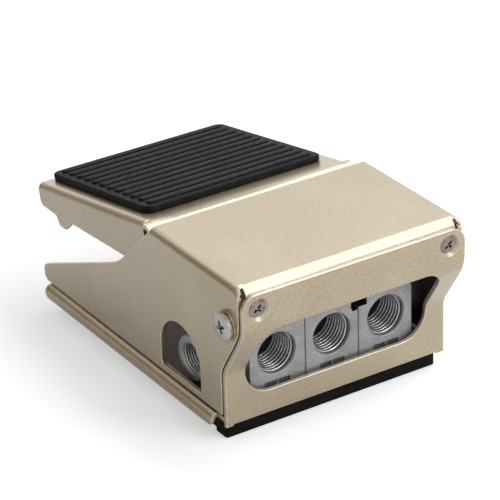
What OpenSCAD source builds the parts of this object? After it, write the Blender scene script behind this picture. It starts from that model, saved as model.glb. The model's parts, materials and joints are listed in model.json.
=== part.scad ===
// Foot pedal valve: a hinged pedal in a bent sheet housing works a spool in a die-cast body.
// X is the width, Y runs from the port panel to the pedal's end, Z is up from the floor.

/* [Sheet metal] */
// Thickness of the base, cover and pedal sheet
sheet_t = 1.5; // [1.2:0.1:1.8]
// Inner radius of the square bends
bend_r = 0.8; // [0.6:0.1:1.6]

/* [Base and front panel] */
// Floor to the underside of the base plate
mat_h = 6.9; // [6:0.1:7.6]
// Front face to the rear edge of the base
base_l = 117.3; // [112:0.1:119]
// How far each rim stands outside the cover's wall
rim_out = 2; // [1.2:0.1:2.6]
// Height of the rims, from the top of the base plate
rim_h = 4.2; // [4.2:0.1:5.2]
// Front face to the front end of the rims
rim_front = 15.8; // [14.5:0.1:18]
// Rounding of the rims' lower corners
rim_corner_r = 2; // [0.6:0.1:2.4]
// How far the panel stays inside the cover's width on each side
panel_inset = 0.2; // [0:0.1:1]
// How far the panel's lower edge hangs under the base plate
panel_apron = 1; // [0.4:0.1:1.6]
// Width of the small ears at the panel's lower corners
ear_w = 2.6; // [1.6:0.1:4]
// Depth of those ears
ear_h = 0.5; // [0.2:0.1:1]
// How far the lower panel lies behind the upper panel
joggle = 10.6; // [9:0.1:12]
// Cover's top to the upper bend in the panel
joggle_drop = 15.6; // [15:0.1:17]
// Height of the slope between the two bends
joggle_h = 16.5; // [15:0.1:18]
// Inner radius of the upper bend
joggle_high_r = 12.5; // [8:0.5:13]
// Inner radius of the lower bend
joggle_low_r = 7; // [4:0.5:8]
// How far the panel's top edge lies under the cover's top
panel_drop = 2.1; // [1.5:0.1:3]
// Rounding of the panel's upper corners
panel_corner_r = 5; // [2:0.5:6]
// Width of the port window
window_w = 66; // [63:0.2:68]
// Height of the window's lower edge
window_low = 13.6; // [12.5:0.1:15]
// Upper bend to the window's upper edge
window_drop = 0.1; // [0:0.1:3]
// Rounding of the window's lower corners
window_low_r = 9; // [4:0.5:11]
// Rounding of the window's upper corners
window_high_r = 7; // [3:0.5:9]

/* [Foot mat] */
// How far the mat stays inside the rims on each side
mat_inset = 3.3; // [2:0.1:6]
// How far the front bead stands outside the mat on each side
bead_out = 1.2; // [0.4:0.1:1.6]
// Lower panel's face to the front of the bead
bead_setback = 2.6; // [2:0.1:4]
// Depth of the bead, front to back
bead_d = 6; // [4:0.2:10]
// Rounding of the mat's corners, seen from above
mat_corner_r = 1.2; // [0.6:0.1:2.9]
// Mat's rear edge to the rear edge of the base
mat_rear_gap = 2.6; // [1:0.1:6]

/* [Cover] */
// Outer width of the cover
cover_w = 80.6; // [78:0.2:84]
// Front face to the rear edge of the cover's top
cover_l = 51.4; // [50:0.1:54]
// Floor to the cover's top
cover_top = 55.7; // [55:0.1:58]
// Gap under the walls and in front of them
wall_gap = 0.5; // [0.3:0.1:0.8]
// Cover's top to the start of the walls' sloping rear edge
seam_drop = 1.2; // [0.6:0.1:3]
// Front face to the knee between the sloping edge and the tail
knee_y = 71.8; // [68:0.2:76]
// Cover's top to that knee
knee_drop = 20.4; // [18:0.1:23]
// Rounding of the knee
knee_r = 28; // [6:1:36]
// Front face to the rear end of the tail
tail_l = 120.6; // [114:0.1:123]
// Height of the tail's rounded end
tail_h = 5.4; // [4.4:0.1:8]
// Height of the front flange, from the cover's top
flange_h = 11; // [10.2:0.2:12]
// Width of the bend relief at each end of the flange
relief_w = 1.2; // [0.8:0.1:2]
// Front face to the rear end of that relief
relief_l = 3.6; // [3:0.1:5]
// Front face to the middle of the side arches
arch_y = 35.7; // [34.5:0.1:36.5]
// Half width of the side arches
arch_r = 11.3; // [9.5:0.1:12]
// Height of the centre of the arches' round top
arch_z = 18.4; // [17:0.1:20]
// Strip of wall left under the arches
arch_sill = 2.2; // [1.2:0.1:3]

/* [Pedal] */
// Gap between the pedal's skirts and the cover's walls
pedal_side_gap = 1.3; // [1:0.1:1.8]
// Length of the pedal's top plate along its slope
pedal_l = 76.6; // [75:0.2:79]
// Slope of the pedal at rest
pedal_tilt = 11; // [10:0.1:12]
// Gap between the cover's rear edge and the pedal's front corner
pedal_gap = 1.2; // [0.8:0.1:2]
// How far the pedal's front corner lies under the cover's top
pedal_drop = 0.9; // [0:0.1:1.6]
// Depth of the front flange
pedal_flange = 10; // [7:0.5:12]
// Depth of the rear lip
pedal_lip = 7; // [5:0.5:8]
// Cover's top to the skirt's lower edge at the pedal's end
skirt_drop = 22.5; // [21.7:0.1:23.6]
// Rise of the skirt's lower edge from the pedal's end to the arms
skirt_rise = 4.5; // [2:0.1:5]
// Pedal's front corner to the front edge of the skirts, along the slope
skirt_from = 7.5; // [6:0.1:9]
// Skirt's rear corner to the middle of the tooth
tooth_back = 14; // [12:0.2:18]
// Depth of the tooth under the skirt
tooth_h = 2.9; // [2:0.1:5]
// Width of the tooth at its tip
tooth_w = 3.6; // [2:0.2:6]
// Front face to the hinge axis
pivot_y = 8.2; // [7.6:0.1:9]
// Cover's top to the hinge axis
pivot_drop = 14; // [13.4:0.1:15.4]
// Radius of the arms' round ends
lug_r = 4.8; // [4.6:0.1:5]
// Angle of the pedal's stroke
travel = 8.5; // [7:0.1:8.8]

/* [Pad] */
// Width of the rubber pad
pad_w = 65.2; // [58:0.2:66]
// Length of the pad along the slope
pad_l = 62.4; // [54:0.2:62.6]
// Thickness of the pad
pad_h = 3.2; // [2:0.1:5]
// Pedal's front corner to the pad, along the slope
pad_start = 12.4; // [9:0.2:12.6]
// Rounding of the pad's corners
pad_corner_r = 3; // [1:0.2:6]
// Height of the ribs over the pad's border
pad_rib_h = 0.9; // [0.4:0.1:1.4]
// Width of the ribs
pad_rib_w = 3; // [2:0.1:3.6]
// Flat border round the ribs
pad_border = 2.4; // [1.6:0.1:5]
// Number of ribs
pad_ribs = 12; // [8:1:14]

/* [Fasteners] */
// Thread diameter of the pivot screws
pivot_d = 5; // [4.6:0.1:5.2]
// Diameter of the pivot screws' heads
pivot_head_d = 9.2; // [8.4:0.1:10]
// Height of those heads
pivot_head_h = 1.3; // [1.2:0.1:2.4]
// Thickness of the split washers
split_t = 0.6; // [0.5:0.1:1.2]
// Thickness of the flat washers
washer_t = 0.5; // [0.5:0.1:1.2]
// Diameter of the flat washers
washer_d = 9.8; // [9.2:0.1:10.6]
// Outer diameter of the pivot bushes
bush_d = 7; // [6.8:0.1:7.4]
// Width across the flats of the pivot nuts
nut_af = 8; // [7:0.1:8.4]
// Height of the pivot nuts
nut_h = 3.6; // [2.5:0.1:4]
// Thread diameter of the front screws
front_screw_d = 4; // [3.5:0.1:4.2]
// Cover's side to each front screw
front_screw_in = 6; // [5.4:0.1:8]
// Cover's top to the front screws
front_screw_drop = 7.2; // [6.6:0.1:7.6]
// How deep the front screws' heads lie under the panel's face
front_recess = 0.2; // [0.1:0.05:0.3]
// Width of the slots in the screws' cross recesses
recess_w = 1; // [0.8:0.1:1.2]
// Distance of the body screws from the middle
body_screw_x = 22; // [19:0.5:23]
// Thread diameter of the body screws
body_screw_d = 4; // [3:0.1:4.5]
// Length of the body screws' thread inside the valve body
body_screw_grip = 6; // [4:0.2:7]

/* [Valve] */
// Gap between the panel and the valve body
body_gap = 1.2; // [0.6:0.1:1.6]
// Width of the valve body
body_w = 59.4; // [57:0.2:61]
// Depth of the valve body, front to back
body_l = 36; // [35:0.5:39]
// Height of the valve body's top
body_top = 33.6; // [33:0.1:35]
// Spacing of the front ports
port_pitch = 20; // [18.4:0.1:20.4]
// Height of the front ports' axes
port_z = 23.4; // [22.4:0.1:24]
// Thread bore of the front ports
port_d = 11.44; // [9:0.02:12.4]
// Depth of the front ports' threads
port_depth = 12; // [9:0.5:13]
// Diameter of the front ports' chamfered mouths
port_mouth_d = 13.7; // [13.2:0.1:14.4]
// Height of the side ports' axes
side_port_z = 16.7; // [16.4:0.1:17.6]
// Thread bore of the side ports
side_port_d = 8.56; // [7:0.02:9.2]
// Depth of the side ports' threads
side_port_depth = 10; // [7:0.5:11]
// Diameter of the side ports' chamfered mouths
side_mouth_d = 10.2; // [9.6:0.1:10.6]
// Diameter of the side bosses
boss_d = 14.5; // [13:0.1:15.6]
// Gap between a side boss and the cover's wall
boss_gap = 2.2; // [1:0.1:3]
// Diameter of the spool's tower
tower_d = 20; // [18.6:0.2:22]
// Length of the striker under the pedal's bridge
striker_l = 4.3; // [3.6:0.1:4.6]
// Diameter of the spool bore
bore_d = 12; // [11.4:0.1:12.4]
// Diameter of the spool's stem
stem_d = 6; // [5:0.1:6.4]
// Diameter of the passages inside the body
gallery_d = 2.6; // [2:0.1:2.8]
// Spacing of the five annular grooves in the bore
groove_pitch = 4.2; // [4:0.05:4.3]

/* [Springs] */
// Outer diameter of the pedal spring
spring_d = 13; // [11:0.2:15]
// Wire of the pedal spring
spring_wire = 1.4; // [1:0.1:1.8]
// Turns of the pedal spring
spring_turns = 9; // [6:0.5:12]
// Wire of the spool spring
spool_wire = 0.8; // [0.6:0.1:0.9]
// Turns of the spool spring
spool_turns = 3.5; // [2.5:0.5:4]

/* [Hidden] */
$fn = 64;

// Clearances, and how far a cut runs past the face it opens
running_fit = 0.05;
hole_fit = 0.1;
side_play = 0.2;
seat_gap = 0.3;
cut = 1;

// Sheet pieces
bend_out = bend_r + sheet_t;
bend_steps = 6;
base_top = mat_h + sheet_t;
rim_w = cover_w + 2 * rim_out;
panel_w = cover_w - 2 * panel_inset;
panel_top = cover_top - panel_drop;
joggle_high = cover_top - joggle_drop;
joggle_low = joggle_high - joggle_h;
window_high = joggle_high - window_drop;
panel_low = mat_h - panel_apron;
panel_foot = panel_low - ear_h;
wall_low = base_top + wall_gap;
wall_in = cover_w / 2 - sheet_t;
knee_z = cover_top - knee_drop;
tail_end_r = 0.48 * tail_h;
flange_w = 2 * (wall_in - relief_w);
front_screw_x = cover_w / 2 - front_screw_in;
front_screw_z = cover_top - front_screw_drop;
front_sink_d = front_screw_d + 2 * sheet_t;
front_screw_l = 3 * sheet_t;

// The part's origin lies under the middle of the mat
mat_front = joggle + bead_setback;
mat_rear = base_l - mat_rear_gap;
mat_w = rim_w - 2 * (sheet_t + mat_inset);
origin_y = (mat_front + mat_rear) / 2;

// Pedal: its top plate slopes down from the front corner, its arms reach the hinge inside the cover
pedal_w = cover_w - 2 * (sheet_t + pedal_side_gap);
pedal_y = cover_l + pedal_gap;
pedal_z = cover_top - pedal_drop;
pivot_z = cover_top - pivot_drop;
skirt_z = cover_top - skirt_drop;
arm_x = pedal_w / 2 - sheet_t;
arm_run = 8;
arm_from = [cover_l + arm_run, skirt_z + skirt_rise];
arm_inset = 2;
arm_headroom = 1;
arm_end = [pedal_y - arm_inset, cover_top - sheet_t - arm_headroom];
arm_bow_r = 12;
arm_end_r = 1.5;
lug_neck = 0.85 * lug_r;
flange_side_gap = 0.5;
lip_w = pedal_w - 2 * (bend_out + relief_w);
skirt_to = pedal_l - bend_out / 2;
skirt_notch = 4.5;
skirt_inset = 1.2;
skirt_rear = slope_point(pedal_l, -pedal_lip).x - skirt_inset;
skirt_rear_r = 2.6;
tooth_y = skirt_rear - tooth_back;
tooth_run = [4.2, 2.2];
tooth_step = 1;
tooth_r = [1, 1.2, 1, 0.8];

// Hinge stack, from the outside of the wall inwards
washer_out = cover_w / 2 + washer_t;
split_out = washer_out + split_t;
split_cut = 0.8;
collar_w = 1;
collar_d = bush_d + 2 * collar_w;
collar_in = pedal_w / 2 + side_play;
bush_end = arm_x - side_play;
nut_end = bush_end - nut_h;
washer_hole = pivot_d + 4 * hole_fit;

// Valve body and its bore
body_front = joggle + sheet_t + body_gap;
body_rear = body_front + body_l;
body_edge = 2.4;
body_edge_r = 0.6;
boss_end = wall_in - boss_gap;
port_end = body_front + port_depth;
side_end = boss_end - side_port_depth;
spool_y = arch_y;
bore_floor = 2;
bore_low = base_top + bore_floor;
groove_rise = 13.6;
groove_mid = base_top + groove_rise;
groove_w = 2.2;
groove_depth = 1;
groove_r = bore_d / 2 + groove_depth;
body_screw_in = [6, 4];
body_screw_y = [body_front + body_screw_in[0], body_rear - body_screw_in[1]];
body_head_d = body_screw_d + 2 * sheet_t - 2 * hole_fit;
thread_room = 0.5;
body_hole_h = body_screw_grip + thread_room;

// Relief on the body's front face
line_w = 0.5;
line_d = 0.6;
field = [9, 0.5, 2.2];
field_drop = 11.4;
field_z = port_z - field_drop;
notch = [5.8, 6, 4.1];
notch_in = 2.8;
slot = [2.4, 6, 0.9];
slot_in = 2.4;

// Bridge and striker on the pedal's arms
bridge_gap = 0.4;
bridge_top = cover_top - sheet_t - bridge_gap;
bridge_low = bridge_top - sheet_t;
bridge_d = 12;
ear_drop = 9;
rivet_d = 3;
rivet_head_d = 5.4;
rivet_head_h = 0.8;
rivet_drop = 6.2;
rivet_z = bridge_top - rivet_drop;
striker_d = 8;
striker_pin_d = 5;
striker_low = bridge_low - striker_l;
striker_edge = 1.2;

// Spool: lands between the grooves, a waist between the lands, and the stem through the bush.
// The striker meets the rear edge of the stem, which sets the stroke and so the tower's height.
stroke = (spool_y + stem_d / 2 - pivot_y) * sin(travel);
stem_top = striker_low - seat_gap;
stem_spare = 0.8;
tower_top = stem_top - stroke - stem_spare;
spool_r = bore_d / 2 - running_fit;
stem_r = stem_d / 2 - running_fit;
waist_r = 3.5;
land_h = 2.2;
top_land_h = 2.8;
land_z = [groove_mid - groove_pitch / 2, groove_mid + 1.5 * groove_pitch];
spool_low = land_z[0] - land_h / 2;
nose_l = 2;
nose_room = 1.2;
nose_r = bore_d / 2 - 2 * spool_wire - nose_room;
clip_h = 0.9;
clip_drop = 1.4;
clip_z = tower_top - clip_drop;
clip_out = 0.7;
clip_w = 1.9;
clip_gap = 3;
guide_h = 3.2;
guide_z = clip_z - guide_h;
guide_step = 0.7;
guide_r = bore_d / 2 + guide_step;
spool_top = guide_z - seat_gap;
ring_h = 1.2;
ring_squeeze = 0.1;
ring_depth = ring_h - ring_squeeze;
ring_play = 0.02;
ring_r = ring_depth / 2 - ring_play;
stem_ring_r = 0.4;
stem_ring_room = 0.9;
ring_z = [land_z[0], land_z[1], spool_top - top_land_h / 2];

// Pedal spring and its seats
post_play = 1;
post_d = spring_d - 2 * spring_wire - post_play;
post_h = 10;
post_stud_d = 4;
post_foot_h = 1.2;
seat_t = 1.4;
seat_ledge = 0.5;
seat_d = spring_d + 2 * seat_ledge;
seat_set = 0.4;
seat_u = bend_out + seat_d / 2 + seat_set;
spring_y = pedal_y + seat_u * cos(pedal_tilt);
spigot_h = 4;
spigot_taper = 1.2;
spigot_d = [post_d - 2 * spigot_taper, post_d - spigot_taper];
spring_foot = base_top + post_foot_h;
spring_head = slope_point(seat_u + seat_d / 2, -sheet_t - seat_t).y - seat_gap;

// A point of the pedal's side view: u along the slope from the front corner, w square to it
function slope_point(u, w) = [
  pedal_y + u * cos(pedal_tilt) + w * sin(pedal_tilt),
  pedal_z - u * sin(pedal_tilt) + w * cos(pedal_tilt)
];

// The same point's u and w, from its place in the side view
function on_slope(p) =
  let(y = p.x - pedal_y, z = p.y - pedal_z)
  [y * cos(pedal_tilt) - z * sin(pedal_tilt), y * sin(pedal_tilt) + z * cos(pedal_tilt)];

function unit(v) = v / norm(v);
function left_of(v) = [-v.y, v.x];
function turn_at(a, p, b) = let(d = unit(p - a), e = unit(b - p)) atan2(cross(d, e), d * e);

// Arc that rounds the corner p between a and b
function corner(a, p, b, r) =
  let(d = unit(p - a),
      turn = turn_at(a, p, b),
      start = p - d * r * tan(abs(turn) / 2),
      centre = start + sign(turn) * r * left_of(d),
      from = atan2(start.y - centre.y, start.x - centre.x))
  [for (i = [0:bend_steps])
    let(t = from + turn * i / bend_steps) centre + r * [cos(t), sin(t)]];

// Outline with each corner rounded by its own radius
function rounded(points, radii) =
  let(n = len(points))
  [for (i = [0:n - 1])
    for (q = radii[i] > 0
      ? corner(points[(i + n - 1) % n], points[i], points[(i + 1) % n], radii[i])
      : [points[i]]) q];

function reversed(v) = [for (i = [len(v) - 1:-1:0]) v[i]];

// Path moved to its left by t
function beside(path, t) =
  let(last = len(path) - 1,
      normals = [for (i = [0:last - 1]) left_of(unit(path[i + 1] - path[i]))])
  [for (i = [0:last])
    i == 0 ? path[0] + t * normals[0]
    : i == last ? path[last] + t * normals[last - 1]
    : path[i] + t * (normals[i - 1] + normals[i]) / (1 + normals[i - 1] * normals[i])];

// Outline of a bent sheet whose one face follows the path and whose thickness lies to its left,
// with the inner radius of each bend
function bent_sheet(path, inner) =
  let(last = len(path) - 1,
      outer = [for (r = inner) r + sheet_t],
      left = [for (i = [0:last])
        i > 0 && i < last && turn_at(path[i - 1], path[i], path[i + 1]) > 0],
      near = [for (i = [0:last]) i == 0 || i == last ? 0 : left[i] ? outer[i] : inner[i]],
      far = [for (i = [0:last]) i == 0 || i == last ? 0 : left[i] ? inner[i] : outer[i]])
  concat(rounded(path, near), reversed(rounded(beside(path, sheet_t), far)));

// The same with square bends all along
function folded(path) = bent_sheet(path, [for (p = path) bend_r]);

// Inverted channel of the given width, seen along Y, from its top down to the given height
function channel(w, top, low) =
  folded([[w / 2, low], [w / 2, top], [-w / 2, top], [-w / 2, low]]);

// Front face of the joggled panel in the side view, between two heights
function panel_path(top, low) = [[0, top], [0, joggle_high], [joggle, joggle_low], [joggle, low]];

// Side view (Y, Z) extruded over a range of X
module along_x(outline, x0, x1) {
  translate([x0, 0, 0])
    rotate([90, 0, 90])
      linear_extrude(x1 - x0)
        polygon(outline);
}

// Front view (X, Z) extruded over a range of Y
module along_y(outline, y0, y1) {
  translate([0, y1, 0])
    rotate([90, 0, 0])
      linear_extrude(y1 - y0)
        polygon(outline);
}

// Round bar along X between two places, in the side view
module rod_x(y, z, d, x0, x1) {
  translate([x0, y, z])
    rotate([0, 90, 0])
      cylinder(d = d, h = x1 - x0);
}

// Round bar along Y
module rod_y(x, z, d, y0, y1) {
  translate([x, y0, z])
    rotate([-90, 0, 0])
      cylinder(d = d, h = y1 - y0);
}

// Round bar along Z about the present origin
module rod_z(r, z0, z1) {
  translate([0, 0, z0])
    cylinder(r = r, h = z1 - z0);
}

module both_sides() {
  children();
  mirror([1, 0, 0]) children();
}

// Four places of the body screws
module at_body_screws(z) {
  both_sides()
    for (y = body_screw_y)
      translate([body_screw_x, y, z])
        children();
}

// Two places of the front screws, with +z into the panel
module at_front_screws(y) {
  both_sides()
    translate([front_screw_x, y, front_screw_z])
      rotate([-90, 0, 0])
        children();
}

// Countersunk head with its face at z = 0 and its shank towards +z
module countersunk(head_d, shank_d, length) {
  cylinder(d1 = head_d, d2 = shank_d, h = (head_d - shank_d) / 2);
  cylinder(d = shank_d, h = length);
}

// Cross recess cut towards +z from a face at z = 0
module cross_recess(reach, w, depth) {
  for (turn = [0, 90])
    rotate([0, 0, turn])
      translate([-reach / 2, -w / 2, -cut])
        cube([reach, w, depth + cut]);
}

// Coil spring of round wire standing on z = 0
module coil(mean_r, wire, height, turns) {
  sides = 8;
  per_turn = 16;
  rings = turns * per_turn;
  lift = height - wire;
  point = [for (i = [0:rings], k = [0:sides - 1])
    let(a = 360 * i / per_turn, b = 360 * k / sides, r = mean_r + wire / 2 * cos(b))
    [r * cos(a), r * sin(a), wire / 2 + lift * i / rings + wire / 2 * sin(b)]];
  skin = [for (i = [0:rings - 1], k = [0:sides - 1])
    let(n = (k + 1) % sides)
    [i * sides + k, (i + 1) * sides + k, (i + 1) * sides + n, i * sides + n]];
  ends = [[for (k = [0:sides - 1]) k], [for (k = [sides - 1:-1:0]) rings * sides + k]];
  polyhedron(point, concat(skin, ends));
}

// Ring of square section about the Z axis, between two radii
module square_ring(r_in, r_out, z0, z1) {
  difference() {
    rod_z(r_out, z0, z1);
    rod_z(r_in, z0 - cut, z1 + cut);
  }
}

// Round sealing ring about the Z axis
module seal_ring(mean_r, wire_r, z) {
  translate([0, 0, z])
    rotate_extrude()
      translate([mean_r, 0])
        circle(r = wire_r, $fn = 24);
}

module pedal_frame() {
  translate([0, pedal_y, pedal_z])
    rotate([-pedal_tilt, 0, 0])
      children();
}

// Base plate with its rims, and the joggled port panel that stands on its front edge
module base_plate() {
  p = panel_w / 2;
  panel_view = rounded(
    [[-p, panel_foot], [ear_w - p, panel_foot], [ear_w - p, panel_low],
     [p - ear_w, panel_low], [p - ear_w, panel_foot], [p, panel_foot],
     [p, panel_top], [-p, panel_top]],
    [ear_h / 2, ear_h / 2, 0, 0, ear_h / 2, ear_h / 2, panel_corner_r, panel_corner_r]);
  w = window_w / 2;
  window = rounded(
    [[-w, window_low], [w, window_low], [w, window_high], [-w, window_high]],
    [window_low_r, window_low_r, window_high_r, window_high_r]);
  panel_bends = [0, joggle_high_r, joggle_low_r, 0];
  rim_low = base_top - rim_h;
  rim_view = rounded(
    [[rim_front, rim_low], [base_l, rim_low], [base_l, base_top + cut], [rim_front, base_top + cut]],
    [rim_corner_r, rim_corner_r, 0, 0]);
  color("tan")
    difference() {
      union() {
        intersection() {
          along_y(channel(rim_w, base_top, rim_low), rim_front, base_l);
          along_x(rim_view, -rim_w / 2, rim_w / 2);
        }
        translate([-p, joggle + sheet_t / 2, mat_h])
          cube([panel_w, rim_front - joggle, sheet_t]);
        intersection() {
          along_x(bent_sheet(panel_path(panel_top, panel_foot), panel_bends), -p, p);
          along_y(panel_view, -cut, body_front);
        }
      }
      along_y(window, -cut, body_front);
      at_front_screws(0)
        countersunk(front_sink_d, front_screw_d, sheet_t + cut);
      at_body_screws(mat_h)
        countersunk(body_head_d, body_screw_d + 2 * hole_fit, sheet_t + cut);
      translate([0, spring_y, mat_h - cut])
        cylinder(d = post_stud_d, h = sheet_t + 2 * cut);
    }
}

// Rubber mat under the base, with a wider bead at the front
module foot_mat() {
  m = mat_w / 2;
  b = m + bead_out;
  bead_rear = mat_front + bead_d;
  outline = rounded(
    [[-b, mat_front], [b, mat_front], [b, bead_rear], [m, bead_rear],
     [m, mat_rear], [-m, mat_rear], [-m, bead_rear], [-b, bead_rear]],
    [mat_corner_r, mat_corner_r, 0, 0, mat_corner_r, mat_corner_r, 0, 0]);
  color("#1c1c1e")
    linear_extrude(mat_h)
      polygon(outline);
}

// Top, side walls with their low tails, and the flange behind the panel
module cover() {
  front = reversed(beside(panel_path(cover_top, wall_low), sheet_t + wall_gap));
  wall = rounded(
    concat(front, [[cover_l, cover_top], [cover_l, cover_top - seam_drop], [knee_y, knee_z],
      [tail_l, wall_low + tail_h], [tail_l, wall_low]]),
    [0, joggle_low_r + sheet_t + wall_gap, joggle_high_r - wall_gap, 0, 0, 0,
     knee_r, tail_end_r, tail_end_r]);
  bend_end = sheet_t + bend_out;
  flange = [[bend_end + cut, cover_top], [sheet_t, cover_top], [sheet_t, cover_top - flange_h]];
  color("tan")
    difference() {
      union() {
        difference() {
          intersection() {
            along_y(channel(cover_w, cover_top, wall_low), 0, tail_l);
            along_x(wall, -cover_w / 2, cover_w / 2);
          }
          translate([-flange_w / 2, 0, cover_top - bend_out])
            cube([flange_w, bend_end, bend_out + cut]);
          translate([-wall_in, 0, cover_top - bend_out])
            cube([2 * wall_in, relief_l, bend_out + cut]);
        }
        along_x(folded(flange), -flange_w / 2, flange_w / 2);
      }
      both_sides()
        rod_x(pivot_y, pivot_z, washer_hole, wall_in - cut, cover_w / 2 + cut);
      both_sides()
        rod_y(front_screw_x, front_screw_z, front_screw_d, 0, 2 * sheet_t + cut);
      both_sides()
        arch(wall_in - cut, cover_w / 2 + cut);
    }
}

// Arched window for a side port
module arch(x0, x1) {
  sill = wall_low + arch_sill;
  rod_x(arch_y, arch_z, 2 * arch_r, x0, x1);
  translate([x0, arch_y - arch_r, sill])
    cube([x1 - x0, 2 * arch_r, arch_z - sill]);
}

// Countersunk screws, panel to cover flange
module front_screws() {
  color("silver")
    at_front_screws(front_recess)
      difference() {
        countersunk(front_sink_d - 2 * front_recess, front_screw_d, front_screw_l);
        cross_recess(front_screw_d, recess_w, front_screw_d / 3);
      }
}

// Pan-head screws that carry the hinge
module pivot_screws() {
  head_r = pivot_head_d / 2;
  head = rounded(
    [[0, 0], [head_r, 0], [head_r, pivot_head_h], [0, pivot_head_h]],
    [0, 0, pivot_head_h / 2, 0]);
  color("silver")
    both_sides() {
      rod_x(pivot_y, pivot_z, pivot_d, nut_end - cut, split_out);
      translate([split_out, pivot_y, pivot_z])
        rotate([0, 90, 0])
          difference() {
            rotate_extrude()
              polygon(head);
            translate([0, 0, pivot_head_h])
              mirror([0, 0, 1])
                cross_recess(pivot_d, recess_w, pivot_head_h * 0.75);
          }
    }
}

// Spring washers with their split
module pivot_split_washers() {
  color("silver")
    both_sides()
      difference() {
        rod_x(pivot_y, pivot_z, pivot_head_d - split_cut, washer_out, split_out);
        rod_x(pivot_y, pivot_z, pivot_d, washer_out - cut, split_out + cut);
        translate([washer_out - cut, pivot_y - split_cut / 2, pivot_z])
          cube([split_t + 2 * cut, split_cut, pivot_head_d]);
      }
}

module pivot_washers() {
  color("goldenrod")
    both_sides()
      difference() {
        rod_x(pivot_y, pivot_z, washer_d, cover_w / 2, washer_out);
        rod_x(pivot_y, pivot_z, washer_hole, cover_w / 2 - cut, washer_out + cut);
      }
}

// Flanged sleeves on which the pedal's arms turn
module pivot_bushes() {
  color("darkgoldenrod")
    both_sides()
      difference() {
        union() {
          rod_x(pivot_y, pivot_z, collar_d, collar_in, wall_in);
          rod_x(pivot_y, pivot_z, bush_d, bush_end, wall_in);
        }
        rod_x(pivot_y, pivot_z, pivot_d, bush_end - cut, wall_in + cut);
      }
}

module pivot_nuts() {
  color("silver")
    both_sides()
      difference() {
        translate([nut_end, pivot_y, pivot_z])
          rotate([0, 90, 0])
            cylinder(d = nut_af / cos(30), h = nut_h, $fn = 6);
        rod_x(pivot_y, pivot_z, pivot_d, nut_end - cut, bush_end + cut);
      }
}

// Die-cast body: port block, side bosses and the spool's tower
module valve_body() {
  b = body_w / 2;
  block = rounded(
    [[-b, base_top], [b, base_top], [b, body_top - body_edge], [b - body_edge, body_top],
     [body_edge - b, body_top], [-b, body_top - body_edge]],
    [0, 0, body_edge_r, body_edge_r, body_edge_r, body_edge_r]);
  color("lightgray")
    difference() {
      union() {
        along_y(block, body_front, body_rear);
        both_sides()
          rod_x(arch_y, side_port_z, boss_d, b - cut, boss_end);
        translate([0, spool_y, 0])
          rod_z(tower_d / 2, base_top, tower_top);
      }
      for (i = [-1:1])
        translate([i * port_pitch, body_front, port_z])
          rotate([-90, 0, 0])
            port_cut(port_d, port_mouth_d, port_depth);
      both_sides()
        translate([boss_end, arch_y, side_port_z])
          rotate([0, -90, 0])
            port_cut(side_port_d, side_mouth_d, side_port_depth);
      for (i = [-1:1])
        gallery([i * port_pitch, port_end, port_z], i);
      for (i = [-1, 1])
        gallery([i * side_end, arch_y, side_port_z], 2 * i);
      spool_bore();
      at_body_screws(base_top - cut)
        cylinder(d = body_screw_d, h = body_hole_h + cut);
      front_relief();
    }
}

// Threaded port bored towards +z from a face at z = 0, with its chamfered mouth
module port_cut(d, mouth_d, depth) {
  translate([0, 0, -cut])
    cylinder(d = d, h = depth + cut);
  translate([0, 0, -cut])
    cylinder(d1 = mouth_d + 2 * cut, d2 = d, h = (mouth_d - d) / 2 + cut);
}

// Straight passage from the end of a port to one of the bore's grooves
module gallery(from, groove) {
  out = unit([from.x, from.y - spool_y]);
  to = [out.x * groove_r, spool_y + out.y * groove_r, groove_mid + groove * groove_pitch];
  way = to - from;
  over = gallery_d / 2;
  translate(from - unit(way) * over)
    rotate([0, acos(way.z / norm(way)), atan2(way.y, way.x)])
      cylinder(d = gallery_d, h = norm(way) + 2 * over, $fn = 32);
}

// Bore of the spool with its annular grooves, the bush's seat and the retaining ring's groove
module spool_bore() {
  translate([0, spool_y, 0]) {
    rod_z(bore_d / 2, bore_low, tower_top);
    for (i = [-2:2])
      rod_z(groove_r, groove_mid + i * groove_pitch - groove_w / 2,
        groove_mid + i * groove_pitch + groove_w / 2);
    rod_z(guide_r, guide_z, tower_top + cut);
    rod_z(guide_r + clip_out, clip_z, clip_z + clip_h);
  }
}

// Section lines, bare number fields and the top notch on the front face
module front_relief() {
  front = body_front - cut;
  both_sides()
    translate([port_pitch / 2 - line_w, front, base_top - cut])
      cube([line_w, line_d + cut, body_top - base_top + 2 * cut]);
  for (i = [-1:1])
    translate([i * port_pitch - field.x / 2, front, field_z])
      cube(field + [0, cut, 0]);
  translate([port_pitch / 2 - notch_in, front, body_top - notch.z])
    cube(notch + [0, cut, cut]);
  translate([port_pitch / 2 - slot_in, front, body_top - notch.z - slot.z])
    cube(slot + [0, cut, cut]);
}

// Countersunk screws from below, base plate to valve body
module body_screws() {
  color("silver")
    at_body_screws(mat_h)
      countersunk(body_head_d, body_screw_d, sheet_t + body_screw_grip);
}

// Spool with three ringed lands, its stem and the nose in the return spring
module spool() {
  color("gainsboro")
    translate([0, spool_y, 0])
      difference() {
        union() {
          for (z = land_z)
            rod_z(spool_r, z - land_h / 2, z + land_h / 2);
          rod_z(spool_r, spool_top - top_land_h, spool_top);
          rod_z(waist_r, spool_low, spool_top);
          rod_z(stem_r, spool_top - cut, stem_top);
          rod_z(nose_r, spool_low - nose_l, spool_low + cut);
        }
        for (z = ring_z)
          square_ring(spool_r - ring_depth, spool_r + cut, z - ring_h / 2, z + ring_h / 2);
      }
}

module spool_seals() {
  color("#202020")
    translate([0, spool_y, 0])
      for (z = ring_z)
        seal_ring(spool_r - ring_depth / 2, ring_r, z);
}

// Return spring between the bore's floor and the spool
module spool_spring() {
  color("silver")
    translate([0, spool_y, bore_low])
      coil(nose_r + spool_wire, spool_wire, spool_low - bore_low, spool_turns);
}

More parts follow.
